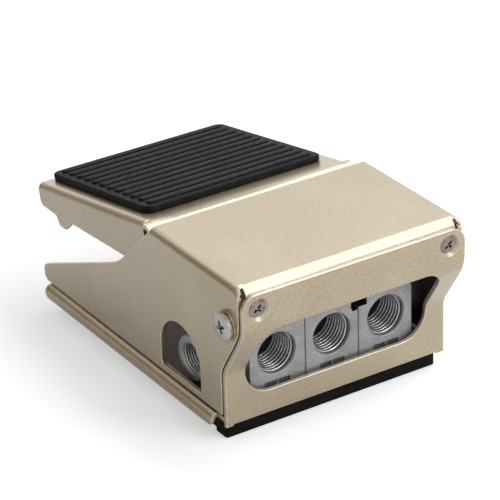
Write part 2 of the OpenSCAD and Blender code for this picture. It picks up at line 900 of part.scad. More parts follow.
// Bush that closes the bore round the stem
module guide_bush() {
  mid = guide_z + guide_h / 2;
  color("darkgoldenrod")
    translate([0, spool_y, 0])
      difference() {
        rod_z(guide_r, guide_z, clip_z);
        rod_z(stem_d / 2, guide_z - cut, clip_z + cut);
        square_ring(guide_r - ring_depth, guide_r + cut, mid - ring_h / 2, mid + ring_h / 2);
        rod_z(stem_d / 2 + stem_ring_room, guide_z - cut, guide_z + stem_ring_room);
      }
}

// Ring round the bush and ring round the stem
module guide_seals() {
  color("#202020")
    translate([0, spool_y, 0]) {
      seal_ring(guide_r - ring_depth / 2, ring_r, guide_z + guide_h / 2);
      seal_ring(stem_d / 2 + stem_ring_room - stem_ring_r, stem_ring_r,
        guide_z + stem_ring_room - stem_ring_r);
    }
}

// Open retaining ring over the bush
module circlip() {
  ring_out = guide_r + clip_out - hole_fit;
  color("silver")
    translate([0, spool_y, 0])
      difference() {
        square_ring(ring_out - clip_w, ring_out, clip_z, clip_z + clip_h - hole_fit);
        translate([-clip_gap / 2, 0, clip_z - cut])
          cube([clip_gap, bore_d, clip_h + 2 * cut]);
      }
}

// Bent pedal with its skirts, the arms that reach the hinge, the front flange and the rear lip
module pedal() {
  front = [[skirt_from + cut, 0], [0, 0], [0, -pedal_flange]];
  rear = [[pedal_l, -pedal_lip], [pedal_l, 0], [skirt_to - bend_out, 0]];
  tip = [tooth_y - tooth_w / 2, tooth_y + tooth_w / 2];
  lower_edge = [
    [skirt_rear, skirt_z], [tip[1] + tooth_run[1], skirt_z], [tip[1], skirt_z - tooth_h],
    [tip[0], skirt_z - tooth_h], [tip[0] - tooth_run[0], skirt_z + tooth_step], arm_from,
    [pivot_y, pivot_z - lug_neck], [pivot_y, pivot_z + lug_neck], arm_end];
  side = rounded(
    concat([[skirt_to, -bend_out]], [for (p = lower_edge) on_slope(p)],
      [[skirt_from, -bend_out - skirt_notch], [skirt_from, -bend_out]]),
    concat([0, skirt_rear_r], tooth_r, [arm_bow_r, 0, 0, arm_end_r, 0, 0]));
  front_half = arm_x - flange_side_gap;
  color("tan")
    difference() {
      union() {
        pedal_frame() {
          along_x(folded(front), -front_half, front_half);
          along_x(folded(rear), -lip_w / 2, lip_w / 2);
          along_y(channel(pedal_w, 0, -bend_out), skirt_from, skirt_to);
          both_sides()
            along_x(side, arm_x, pedal_w / 2);
        }
        both_sides()
          rod_x(pivot_y, pivot_z, 2 * lug_r, arm_x, pedal_w / 2);
      }
      both_sides() {
        rod_x(pivot_y, pivot_z, bush_d + 2 * running_fit, arm_x - cut, pedal_w / 2 + cut);
        rod_x(spool_y, rivet_z, rivet_d, arm_x - cut, pedal_w / 2 + cut);
      }
    }
}

// Rubber pad with raised ribs on a flat sheet
module pedal_pad() {
  p = pad_w / 2;
  outline = rounded(
    [[-p, 0], [p, 0], [p, pad_l], [-p, pad_l]],
    [pad_corner_r, pad_corner_r, pad_corner_r, pad_corner_r]);
  pitch = (pad_l - 2 * pad_border - pad_rib_w) / (pad_ribs - 1);
  color("#1c1c1e")
    pedal_frame()
      translate([0, pad_start, 0]) {
        linear_extrude(pad_h - pad_rib_h)
          polygon(outline);
        for (i = [0:pad_ribs - 1])
          translate([pad_border - p, pad_border + i * pitch, 0])
            cube([pad_w - 2 * pad_border, pad_rib_w, pad_h]);
      }
}

// Cross member between the arms, with an ear at each end
module pedal_bridge() {
  color("gray")
    difference() {
      along_y(channel(2 * arm_x, bridge_top, bridge_top - ear_drop),
        spool_y - bridge_d / 2, spool_y + bridge_d / 2);
      both_sides()
        rod_x(spool_y, rivet_z, rivet_d, arm_x - sheet_t - cut, arm_x + cut);
      translate([0, spool_y, 0])
        rod_z(striker_pin_d / 2, bridge_low - cut, bridge_top + cut);
    }
}

// Rivets from the arms into the bridge's ears
module bridge_rivets() {
  ear_in = arm_x - sheet_t;
  color("silver")
    both_sides() {
      rod_x(spool_y, rivet_z, rivet_d, ear_in - rivet_head_h, pedal_w / 2);
      rod_x(spool_y, rivet_z, rivet_head_d, ear_in - rivet_head_h, ear_in);
    }
}

// Round-nosed pin that presses the spool's stem
module striker() {
  length = bridge_low - striker_low;
  shape = rounded(
    [[0, 0], [striker_d / 2, 0], [striker_d / 2, length], [0, length]], [0, striker_edge, 0, 0]);
  color("silver")
    translate([0, spool_y, 0]) {
      rod_z(striker_pin_d / 2, bridge_low - cut, bridge_top);
      translate([0, 0, striker_low])
        rotate_extrude()
          polygon(shape);
    }
}

// Spring that lifts the pedal
module pedal_spring() {
  color("silver")
    translate([0, spring_y, spring_foot])
      coil((spring_d - spring_wire) / 2, spring_wire, spring_head - spring_foot, spring_turns);
}

// Riveted post that holds the spring's foot
module spring_post() {
  color("silver")
    translate([0, spring_y, 0]) {
      rod_z(post_stud_d / 2, mat_h, spring_foot);
      rod_z(seat_d / 2, base_top, spring_foot);
      rod_z(post_d / 2, base_top, base_top + post_h);
    }
}

// Seat under the pedal's plate with a spigot in the spring's head
module spring_seat() {
  color("silver")
    pedal_frame()
      translate([0, seat_u, -sheet_t]) {
        rod_z(seat_d / 2, -seat_t, 0);
        translate([0, 0, -seat_t - spigot_h])
          cylinder(d1 = spigot_d[0], d2 = spigot_d[1], h = spigot_h);
      }
}

// Moves a piece from the front face's datum to the part's origin
module placed() {
  translate([0, -origin_y, 0])
    children();
}

placed() base_plate();
placed() foot_mat();
placed() cover();
placed() front_screws();
placed() pivot_screws();
placed() pivot_split_washers();
placed() pivot_washers();
placed() pivot_bushes();
placed() pivot_nuts();
placed() valve_body();
placed() body_screws();
placed() spool();
placed() spool_seals();
placed() spool_spring();
placed() guide_bush();
placed() guide_seals();
placed() circlip();
placed() pedal();
placed() pedal_pad();
placed() pedal_bridge();
placed() bridge_rivets();
placed() striker();
placed() pedal_spring();
placed() spring_post();
placed() spring_seat();
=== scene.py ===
import json
import math

import bmesh
import bpy
from mathutils import Matrix, Vector


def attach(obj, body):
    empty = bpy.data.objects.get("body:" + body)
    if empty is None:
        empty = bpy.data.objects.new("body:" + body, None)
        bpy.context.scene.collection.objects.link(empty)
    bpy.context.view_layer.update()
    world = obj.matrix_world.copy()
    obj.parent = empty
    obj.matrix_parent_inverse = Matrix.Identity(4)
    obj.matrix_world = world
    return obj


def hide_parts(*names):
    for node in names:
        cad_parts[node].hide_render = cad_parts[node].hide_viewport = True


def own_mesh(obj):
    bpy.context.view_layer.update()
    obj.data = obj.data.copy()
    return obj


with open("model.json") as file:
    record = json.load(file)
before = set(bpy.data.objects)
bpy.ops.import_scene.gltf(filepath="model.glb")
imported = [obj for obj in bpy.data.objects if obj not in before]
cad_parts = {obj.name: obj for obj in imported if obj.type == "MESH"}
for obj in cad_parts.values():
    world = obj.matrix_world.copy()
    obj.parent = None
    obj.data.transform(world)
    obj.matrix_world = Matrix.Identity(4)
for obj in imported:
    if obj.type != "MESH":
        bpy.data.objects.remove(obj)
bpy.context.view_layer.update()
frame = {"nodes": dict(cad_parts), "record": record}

# Sizes in millimetres. Y counts from the panel's upper face towards the rear, Z from the floor.
MM = 0.001
ORIGIN_Y = 63.95
AT_ORIGIN = Matrix.Scale(MM, 4)
TO_FRAME = AT_ORIGIN @ Matrix.Translation((0, -ORIGIN_Y, 0))
ARC_STEP = math.radians(7.5)
BEND_ROWS = 10
DROOP_FADE = 6.0
SMOOTH_ANGLE = math.radians(50)
FLAT_WEIGHT = 50
POINT_GAP = 0.02
MITRE_LIMIT = 0.3

SHEET_T = 1.5
BEND_IN = 0.8
BEND_OUT = BEND_IN + SHEET_T
EDGE_ROUND = 0.28
EDGE_STEP = 0.3

MAT_H = 6.9
BASE_TOP = MAT_H + SHEET_T
BASE_REAR = 117.3
RIM_HALF = 42.3
RIM_H = 4.2
RIM_FRONT = 15.8
RIM_CORNER = 2.0

PANEL_HALF = 40.1
PANEL_TOP = 53.6
PANEL_LOW = 5.9
PANEL_CORNER = 5.0
PANEL_SPARE = 2.0
EAR_W = 2.6
EAR_H = 0.5
JOGGLE = 10.6
JOGGLE_LOW = 23.6
JOGGLE_HIGH = 40.1
JOGGLE_HIGH_R = 14.0
JOGGLE_LOW_R = 7.0
WINDOW_HALF = 33.0
WINDOW_LOW = 13.6
WINDOW_HIGH = 40.0
WINDOW_LOW_R = 9.0
WINDOW_HIGH_R = 7.0

COVER_HALF = 40.3
COVER_TOP = 55.7
COVER_REAR = 51.4
SEAM_DROP = 1.2
WALL_LOW = 8.9
WALL_SET = 2.0
WALL_CORNER = 0.6
SET_DROP = 0.2936
SHOULDER_DROPS = (1.9, 1.5)
KNEE = (71.8, 35.3, 28.0)
TAIL_REAR = 120.6
TAIL_H = 5.4
TAIL_R = 2.59
FLANGE_H = 11.0
FLANGE_HALF = 37.6
FLANGE_CORNER = 2.0
RELIEF_W = 1.2
COVER_NOSE_R = 3.5
RELIEF_L = 3.3
ARCH_Y = 35.7
ARCH_Z = 18.4
ARCH_R = 11.3
RIGHT_ARCH_R = 9.0
ARCH_SILL = 11.1
ARCH_CORNER = 0.8
ARCH_SLACK = 0.01
# Painted shade on the sheets' inner faces: full up to the first Y, gone past the second.
DARK_INSIDE = (72.0, 105.0)

PEDAL_Y = 52.6
PEDAL_Z = 54.8
PEDAL_TILT = math.radians(11)
PEDAL_HALF = 37.5
PEDAL_L = 76.6
PEDAL_FLANGE = 10.0
PEDAL_LIP = 7.0
PEDAL_NOSE_R = 6.5
NOSE_HALF = 38.1
NOSE_DROP = 5.5
NOSE_SLIT = 1.1
NOSE_CORNER = 0.8
BEND_SLIT = 0.1
LIP_HALF = 35.0
LIP_CORNER = 1.5
LIP_NOTCH = 0.4
SKIRT_FROM = 7.5
SKIRT_TO = 75.45
SKIRT_NOTCH = 4.5
SKIRT_Z = 33.2
SKIRT_SHORT = 1.2
SKIRT_CORNER = 2.6
SKIRT_END_R = 0.5
TOOTH_BACK = 14.0
TOOTH_H = 2.9
TOOTH_W = 3.6
TOOTH_FOOT = (4.2, 2.2)
TOOTH_ROUND = (0.8, 1.0, 1.2, 1.0)
TOOTH_RISE = 1.0
ARM_FROM = (59.4, 37.7, 12.0)
ARM_END = (50.6, 53.2, 1.5)
PIVOT = (8.2, 41.7)
LUG_R = 4.8
LUG_DEGREES = range(100, 271, 10)

PAD_HALF = 32.6
PAD_L = 62.4
PAD_START = 12.4
PAD_H = 3.2
PAD_CORNER = 3.0
PAD_ROUND = 0.7
RIB_COUNT = 12
RIB_H = 0.9
RIB_W = 3.0
RIB_BORDER = 2.4
RIB_SINK = 0.05
RIB_TIP = 0.08
RIB_FULL = 0.8
RIB_STEPS = 12
RIB_END_STEPS = 8
CROWN_SLOPE = 0.8
RIB_PITCH = (PAD_L - 2 * RIB_BORDER - RIB_W) / (RIB_COUNT - 1)

MAT_HALF = 37.5
MAT_BEAD = 1.2
MAT_FRONT = 13.2
MAT_REAR = 114.7
BEAD_D = 6.0
MAT_CORNER = 1.2
MAT_ROUND = 0.5
BEAD_ROUND = (0.5, 0.4)

BODY_HALF = 29.7
BODY_FRONT = 13.3
BODY_REAR = 49.3
BODY_TOP = 33.6
BODY_EDGE = 2.4
BODY_FOOT_R = 0.3
BODY_EDGE_R = 0.6
CAST_ROUND = 0.18
PORT_XS = (-20.0, 0.0, 20.0)
PORT_Z = 23.4
PORT_ROOT_R = 6.5
PORT_MOUTH_R = 7.0
PORT_CHAMFER = 0.9
PORT_DEPTH = 12.0
PORT_THREAD = 1.337
SIDE_PORT_Z = 16.7
SIDE_ROOT_R = 4.8
SIDE_MOUTH_R = 5.2
SIDE_CHAMFER = 0.6
SIDE_DEPTH = 10.0
SIDE_THREAD = 0.907
BOSS_R = 7.25
BOSS_END = 36.6
TOWER_R = 10.0
TOWER_TOP = 42.4
BORE_R = 6.7
BORE_DEPTH = 4.6
BORE_CUT = 8.0
LUG_ROOT = 2.0
CUT_SPARE = 1.0
LINE_X = 9.75
LINE_HALF = 0.25
LINE_DEPTH = 0.6
NOTCH_X = (7.2, 13.0)
NOTCH_H = 4.1
NOTCH_DEPTH = 6.0
SLOT_X = (7.6, 10.0)
SLOT_DROPS = (5.0, 3.0)
FIELD_Z = (12.0, 14.2)
FIELD_DEPTH = 0.5
FIELD_HALF = 4.5
PORT_NUMBERS = "412"
NUMBER_H = 1.9
NUMBER_RISE = 0.45
NUMBER_STROKE = 0.11
DIGIT_SHARE = 0.7
MARK_SLACK = 0.05
MARK_FROM = 0.12
# Painted shade in the body's number fields and front port bores.
FIELD_SHADE = 0.62
PORT_SHADE = 0.85
THREAD_END = 1.3
THREAD_RIDGE = 0.42

FRONT_SCREW = (34.3, 48.5)
FRONT_SINK_R = 3.5
FRONT_HEAD_R = 2.7
FRONT_RECESS = 0.65
FRONT_SHANK = 4.5
FRONT_BREAK = 0.1
FRONT_CROSS = (1.75, 0.75, 1.5)
FRONT_TURN = math.radians(42)
FRONT_ROUND = 0.06
SINK_ROUND = 0.1
CROSS_MARK = 1.9
CROSS_TAPER = (0.55, 0.68)
CROSS_RISE = 0.5
HEAD_R = 4.6
HEAD_H = 1.3
HEAD_DOME = 0.62
HEAD_BREAK = 0.15
HEAD_CROSS = (2.5, 1.15, 1.0)
HEAD_TURN = 0.35
HEAD_ROUND = 0.05
# Painted shade in the pan heads' cross recess.
HEAD_CROSS_SHADE = 0.7
HEAD_MARK_LOW = 0.1
HEAD_MARK_TOP = 0.22
HINGE_R = 2.5
HINGE_SHANK = 10.5
SPLIT_T = 0.6
SPLIT_LIFT = 0.1
SPLIT_INSET = 0.3
SPLIT_SWEEP = math.radians(350)
WASHER_T = 0.5
WASHER_R = 4.9
WASHER_BORE = 2.7
WASHER_ROUND = 0.1

SPRING_Y = 62.12
SPRING_FOOT = 9.6
SPRING_HEAD = 48.46
SPRING_R = 5.8
SPRING_WIRE = 0.7
SPRING_TURNS = 9
SPOOL_SPRING_FOOT = 10.4
SPOOL_SPRING_HEAD = 18.8
SPOOL_SPRING_R = 4.0
SPOOL_SPRING_WIRE = 0.4
SPOOL_SPRING_TURNS = 3.5


# Outlines

def rounded(corners):
    """Outline through (x, y, radius) corners, each rounded by its own radius."""
    out = []
    count = len(corners)
    for i, (x, y, radius) in enumerate(corners):
        here = Vector((x, y))
        if radius <= 0:
            out.append(here)
            continue
        d = (here - Vector(corners[i - 1][:2])).normalized()
        e = (Vector(corners[(i + 1) % count][:2]) - here).normalized()
        turn = math.atan2(d.x * e.y - d.y * e.x, d.dot(e))
        start = here - d * radius * math.tan(abs(turn) / 2)
        centre = start + Vector((-d.y, d.x)) * math.copysign(radius, turn)
        first = math.atan2(start.y - centre.y, start.x - centre.x)
        steps = max(2, round(abs(turn) / ARC_STEP))
        for k in range(steps + 1):
            t = first + turn * k / steps
            out.append(centre + radius * Vector((math.cos(t), math.sin(t))))
    return out


def mirrored(half):
    """Closed outline from its right half, listed from the front middle to the rear middle."""
    return half + [Vector((-p.x, p.y)) for p in reversed(half) if p.x > 0]


def plate(half, low, high, low_r=0.0, high_r=0.0):
    """Outline of a plate as wide to the left as to the right."""
    return rounded([(-half, low, low_r), (half, low, low_r), (half, high, high_r), (-half, high, high_r)])


def bend(run, radius):
    """Where a sheet is after running over a square bend: outwards and down."""
    arc = math.pi / 2 * radius
    if run <= arc:
        return radius * math.sin(run / radius), radius * (1 - math.cos(run / radius))
    return radius, radius + run - arc


def unbent(down, radius):
    """Run of the flat sheet at which a bent flap is that far down."""
    if down <= radius:
        return radius * math.acos(1 - down / radius)
    return math.pi / 2 * radius + down - radius


def unbent_run(out, radius):
    """Run of the flat sheet at which a bent flap is that far outwards."""
    return radius * math.asin(min(1.0, out / radius))


def bend_rows(radius):
    """Runs at which a square bend is split into rows."""
    return [math.pi / 2 * radius * k / BEND_ROWS for k in range(BEND_ROWS + 1)]


# Meshes

def placed(name, data):
    """New object in the scene."""
    obj = bpy.data.objects.new(name, data)
    bpy.context.scene.collection.objects.link(obj)
    return obj


def to_mesh(obj):
    """Turns an object with modifiers into a plain mesh."""
    graph = bpy.context.evaluated_depsgraph_get()
    mesh = bpy.data.meshes.new_from_object(obj.evaluated_get(graph))
    obj.modifiers.clear()
    obj.data = mesh
    return obj


def made(name, bm, place=TO_FRAME):
    """Object from a bmesh in millimetres, set in the part's frame."""
    mesh = bpy.data.meshes.new(name)
    bmesh.ops.transform(bm, matrix=place, verts=bm.verts[:])
    bm.to_mesh(mesh)
    bm.free()
    return placed(name, mesh)


def smoothed(obj):
    """Smooth shading that keeps the flats flat."""
    for face in obj.data.polygons:
        face.use_smooth = True
    obj.data.set_sharp_from_angle(angle=SMOOTH_ANGLE)
    flats = obj.modifiers.new("flats", "WEIGHTED_NORMAL")
    flats.weight = FLAT_WEIGHT
    flats.keep_sharp = True
    return to_mesh(obj)


def softened(obj, width, segments=2, angle=40):
    """Rounds the sharp edges and keeps the flats flat."""
    edges = obj.modifiers.new("edges", "BEVEL")
    edges.width = width * MM
    edges.segments = segments
    edges.limit_method = "ANGLE"
    edges.angle_limit = math.radians(angle)
    edges.use_clamp_overlap = True
    to_mesh(obj)
    return smoothed(obj)


def around(loop):
    """Each point of a closed loop with the next."""
    return zip(loop, loop[1:] + loop[:1])


def drawn_in(loop, depth):
    """Loop moved into the sheet, which lies on its left."""
    moved = []
    for before, here, after in zip(loop[-1:] + loop[:-1], loop, loop[1:] + loop[:1]):
        a, b = (here - before).normalized(), (after - here).normalized()
        a, b = Vector((-a.y, a.x)), Vector((-b.y, b.x))
        moved.append(here + (a + b) * depth / max(MITRE_LIMIT, 1 + a.dot(b)))
    return moved


def run_around(loop, turn):
    """Loop without doubled points, running anticlockwise (1) or clockwise (-1)."""
    loop = [p for p, q in around(loop) if (p - q).length > POINT_GAP]
    area = sum(p.x * q.y - q.x * p.y for p, q in around(loop))
    return loop if area * turn > 0 else loop[::-1]


def flat_blank(outline, holes):
    """Flat sheet with two narrow strips along each cut edge, told apart by their material index."""
    bm = bmesh.new()
    inner_edges = []
    for loop in (run_around(outline, 1), *[run_around(hole, -1) for hole in holes]):
        rings = [[bm.verts.new((p.x, p.y, 0)) for p in drawn_in(loop, EDGE_ROUND * share)]
                 for share in (0, EDGE_STEP, 1)]
        for strip, (rim, next_rim) in enumerate(zip(rings, rings[1:])):
            for i in range(len(loop)):
                quad = (rim[i - 1], rim[i], next_rim[i], next_rim[i - 1])
                bm.faces.new(quad).material_index = 2 - strip
        inner_edges += [bm.edges.get(pair) for pair in around(rings[2])]
    bmesh.ops.triangle_fill(bm, use_beauty=True, edges=inner_edges)
    return bm


def folded_sheet(name, outline, holes, lines, fold, place=TO_FRAME):
    """Sheet cut flat, split into rows along the bends, folded, and given its thickness and round edges."""
    bm = flat_blank(outline, holes)
    for axis, value in lines:
        normal = Vector((1, 0, 0)) if axis == "x" else Vector((0, 1, 0))
        bmesh.ops.bisect_plane(bm, geom=bm.verts[:] + bm.edges[:] + bm.faces[:], dist=1e-5,
                               plane_co=normal * value, plane_no=normal)
    bm.normal_update()
    for face in bm.faces:
        if face.normal.z < 0:
            face.normal_flip()
    for vert in bm.verts:
        vert.co = fold(vert.co.x, vert.co.y)
    plain = [edge for edge in bm.edges if all(face.material_index == 0 for face in edge.link_faces)]
    bmesh.ops.dissolve_limit(bm, angle_limit=math.radians(1), verts=[], edges=plain)
    bm.normal_update()
    bm.verts.index_update()
    sheet = bmesh.new()
    wear_and_highlight = sheet.faces.layers.float.new("wear_and_highlight")
    # Painted shade: the inner faces are marked to be darkened as if in shade.
    painted_shade = sheet.faces.layers.float.new("painted_shade")
    outside, inside = [], []
    for vert in bm.verts:
        strips = {face.material_index for face in vert.link_faces}
        depth = EDGE_ROUND * (1 if vert.is_boundary else EDGE_STEP if 2 in strips else 0)
        outside.append(sheet.verts.new(vert.co - vert.normal * depth))
        inside.append(sheet.verts.new(vert.co - vert.normal * (SHEET_T - depth)))
    for face in bm.faces:
        loop = [vert.index for vert in face.verts]
        upper = sheet.faces.new([outside[i] for i in loop])
        lower = sheet.faces.new([inside[i] for i in reversed(loop)])
        # Edge strips are marked for wear and a painted highlight.
        upper[wear_and_highlight] = lower[wear_and_highlight] = float(face.material_index > 0)
        # Painted shade: each inner face is marked to be darkened.
        lower[painted_shade] = float(face.material_index == 0)
    for edge in bm.edges:
        if edge.is_boundary:
            corner = edge.link_loops[0]
            a, b = corner.vert.index, corner.link_loop_next.vert.index
            sheet.faces.new((outside[b], outside[a], inside[a], inside[b]))
    bm.free()
    return smoothed(made(name, sheet, place))


def flap_fold(half, top, front=None, rear=None, nose=BEND_OUT, nose_half=0.0):
    """Fold for a plate with side flaps, and flaps at the front and rear, all bent down."""
    side = half - BEND_OUT

    def droop(along, down):
        """How far a corner of the plate sinks beside the front bend."""
        if front is None or not front < along < front + nose:
            return 0.0
        return bend(unbent_run(front + nose - along, nose), nose)[1] * max(0.0, 1 - down / DROOP_FADE)

    def fold(across, along):
        x, y, z = across, along, top
        on_nose = front is not None and along < front + nose and abs(across) <= max(side, nose_half)
        if abs(across) > side and not (on_nose and nose_half):
            out, down = bend(abs(across) - side, BEND_OUT)
            x, z = math.copysign(side + out, across), top - down - droop(along, down)
        elif on_nose:
            out, down = bend(front + nose - along, nose)
            y, z = front + nose - out, top - down
        elif rear is not None and along > rear - BEND_OUT:
            out, down = bend(along - rear + BEND_OUT, BEND_OUT)
            y, z = rear - BEND_OUT + out, top - down
        return Vector((x, y, z))

    lines = [("x", sign * (side + row)) for row in bend_rows(BEND_OUT) for sign in (-1, 1)]
    if front is not None:
        lines += [("y", front + nose - row) for row in bend_rows(nose)]
    if rear is not None:
        lines += [("y", rear - BEND_OUT + row) for row in bend_rows(BEND_OUT)]
    return fold, lines


def prism(outline, low, high):
    """Closed bmesh of an outline extruded along Z."""
    bm = bmesh.new()
    bottom = [bm.verts.new((p.x, p.y, low)) for p in outline]
    face = bm.faces.new(bottom)
    lifted = bmesh.ops.extrude_face_region(bm, geom=[face])
    top = [v for v in lifted["geom"] if isinstance(v, bmesh.types.BMVert)]
    bmesh.ops.translate(bm, verts=top, vec=(0, 0, high - low))
    bmesh.ops.recalc_face_normals(bm, faces=bm.faces[:])
    return bm


def lathe(profile, steps=48, sweep=math.tau, rise=0.0):
    """Closed bmesh of a closed (radius, z) profile turned about Z."""
    bm = bmesh.new()
    whole = abs(sweep - math.tau) < 1e-6
    rings = []
    for i in range(steps if whole else steps + 1):
        t = sweep * i / steps
        rings.append([
            bm.verts.new((r * math.cos(t), r * math.sin(t), z + rise * i / steps))
            for r, z in profile])
    for ring, after in around(rings) if whole else zip(rings, rings[1:]):
        for (a, b), (c, d) in zip(around(ring), around(after)):
            bm.faces.new((a, c, d, b))
    if not whole:
        bm.faces.new(rings[0])
        bm.faces.new(rings[-1])
    bmesh.ops.remove_doubles(bm, verts=bm.verts[:], dist=1e-5)
    bmesh.ops.dissolve_degenerate(bm, dist=1e-6, edges=bm.edges[:])
    bmesh.ops.recalc_face_normals(bm, faces=bm.faces[:])
    return bm


def rod(radius, length):
    """Closed bmesh of a round rod along Z."""
    return lathe([(0, 0), (radius, 0), (radius, length), (0, length)])


def joined(*parts):
    """One bmesh from several (bmesh, matrix) pairs."""
    whole = bmesh.new()
    for bm, place in parts:
        mesh = bpy.data.meshes.new("part")
        bmesh.ops.transform(bm, matrix=place, verts=bm.verts[:])
        bm.to_mesh(mesh)
        bm.free()
        whole.from_mesh(mesh)
        bpy.data.meshes.remove(mesh)
    return whole


def mark_painted_shade(obj, inside):
    """Marks how much painted shade each face takes, from 0 to 1, and keeps a darker mark that is there."""
    painted_shade = obj.data.attributes.get("painted_shade") or obj.data.attributes.new("painted_shade", "FLOAT", "FACE")
    for face in obj.data.polygons:
        mark = painted_shade.data[face.index]
        mark.value = max(mark.value, float(inside(face.center / MM, face.normal)))
    return obj


def cut(obj, cutter, operation="DIFFERENCE"):
    """Boolean of two objects; the second is used up."""
    knife = obj.modifiers.new("cut", "BOOLEAN")
    knife.operation = operation
    knife.solver = "EXACT"
    knife.use_self = True
    knife.object = cutter
    to_mesh(obj)
    bpy.data.objects.remove(cutter)
    bm = bmesh.new()
    bm.from_mesh(obj.data)
    bmesh.ops.dissolve_limit(bm, angle_limit=math.radians(0.5), verts=bm.verts[:], edges=bm.edges[:])
    bm.to_mesh(obj.data)
    bm.free()
    return obj


def facing(x, y, z, direction):
    """Place whose local +Z points in the given direction."""
    return Matrix.Translation((x, y, z)) @ Vector(direction).to_track_quat("Z", "Y").to_matrix().to_4x4()


def dressed(obj, material, body, slot, *nodes):
    """Gives a piece its finish, its body and the nodes it stands for."""
    obj.data.materials.clear()
    obj.data.materials.append(material)
    for face in obj.data.polygons:
        face.material_index = 0
    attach(obj, body)
    if nodes:
        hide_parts(*nodes)
    return obj


# Node trees for what repeats

def add_node(tree, kind, output=0, settings=(), sockets=(), **inputs):
    """Node with its settings, numbers and links; gives one of its outputs."""
    node = tree.nodes.new(kind)
    for name, value in dict(settings).items():
        setattr(node, name, value)
    named = {name.replace("_", " "): value for name, value in inputs.items()}
    for key, value in {**named, **dict(sockets)}.items():
        if isinstance(value, bpy.types.NodeSocket):
            tree.links.new(value, node.inputs[key])
        else:
            node.inputs[key].default_value = value
    return node.outputs[output]


def add_math(tree, operation, *values, clamp=False):
    """Number worked out from others in a shader."""
    settings = {"operation": operation, "use_clamp": clamp}
    return add_node(tree, "ShaderNodeMath", 0, settings, dict(enumerate(values)))


class Tree:
    """Geometry node tree with named inputs, read as tree["Name"]."""

    def __init__(self, name, **inputs):
        self.tree = bpy.data.node_groups.new(name, "GeometryNodeTree")
        sockets = self.tree.interface
        sockets.new_socket(name="Geometry", in_out="OUTPUT", socket_type="NodeSocketGeometry")
        for label, kind in inputs.items():
            sockets.new_socket(name=label, in_out="INPUT", socket_type="NodeSocket" + kind)
        self.source = self.tree.nodes.new("NodeGroupInput")
        self.target = self.tree.nodes.new("NodeGroupOutput")

    def __getitem__(self, name):
        return self.source.outputs[name]

    def node(self, kind, output=0, settings=(), **inputs):
        return add_node(self.tree, kind, output, settings, **inputs)

    def finish(self, geometry):
        whole = self.node("GeometryNodeRealizeInstances", Geometry=geometry)
        smooth = self.node("GeometryNodeSetShadeSmooth", Geometry=whole)
        painted = self.node("GeometryNodeSetMaterial", Geometry=smooth, Material=self["Material"])
        self.tree.links.new(painted, self.target.inputs[0])
        return self.tree


def grown(obj, tree, **values):
    """Runs a node tree on an object with the named inputs and keeps the plain mesh."""
    modifier = obj.modifiers.new("nodes", "NODES")
    modifier.node_group = tree
    for item in tree.interface.items_tree:
        if item.item_type == "SOCKET" and item.in_out == "INPUT" and item.name in values:
            modifier[item.identifier] = values[item.name]
    return to_mesh(obj)


def places(name, spots):
    """Points with the direction each copy's axis takes."""
    mesh = bpy.data.meshes.new(name)
    mesh.from_pydata([TO_FRAME @ Vector(spot) for spot, axis in spots], [], [])
    axes = mesh.attributes.new("axis", "FLOAT_VECTOR", "POINT")
    for i, (spot, axis) in enumerate(spots):
        axes.data[i].vector = axis
    return placed(name, mesh)


def on_points(tree, instance):
    """Copies on the tree's points, each turned to its axis."""
    axis = tree.node("GeometryNodeInputNamedAttribute", settings={"data_type": "FLOAT_VECTOR"}, Name="axis")
    turn = tree.node("FunctionNodeAlignRotationToVector", settings={"axis": "Z"}, Vector=axis)
    return tree.node("GeometryNodeInstanceOnPoints", Points=tree["Points"], Instance=instance, Rotation=turn)


def copies_tree():
    """Copies of one fastener."""
    tree = Tree("fastener_copies", Points="Geometry", Pattern="Object", Material="Material")
    shape = tree.node("GeometryNodeObjectInfo", output="Geometry", Object=tree["Pattern"])
    return tree.finish(on_points(tree, shape))


def coil_tree(name, sides, per_turn, start):
    """Coil at each point: the ridge of a thread or the wire of a spring."""
    tree = Tree(name, Points="Geometry", Radius="Float", Height="Float", Turns="Float", Wire="Float",
                Material="Material")
    path = tree.node("GeometryNodeCurveSpiral", Resolution=per_turn, Rotations=tree["Turns"],
                     Start_Radius=tree["Radius"], End_Radius=tree["Radius"], Height=tree["Height"])
    steady = tree.node("GeometryNodeSetCurveNormal", settings={"mode": "Z_UP"}, Curve=path)
    section = tree.node("GeometryNodeCurvePrimitiveCircle", Resolution=sides, Radius=tree["Wire"])
    coil = tree.node("GeometryNodeCurveToMesh", Curve=steady, Profile_Curve=section, Fill_Caps=True)
    turned = tree.node("GeometryNodeTransform", Geometry=coil, Rotation=(0, 0, start))
    return tree.finish(on_points(tree, turned))


def rib_tree():
    """Row of one rib."""
    tree = Tree("pad_ribs", Pattern="Object", Count="Int", Pitch="Vector", Material="Material")
    row = tree.node("GeometryNodeMeshLine", Count=tree["Count"], Offset=tree["Pitch"])
    shape = tree.node("GeometryNodeObjectInfo", output="Geometry", Object=tree["Pattern"])
    return tree.finish(tree.node("GeometryNodeInstanceOnPoints", Points=row, Instance=shape))


# Finishes

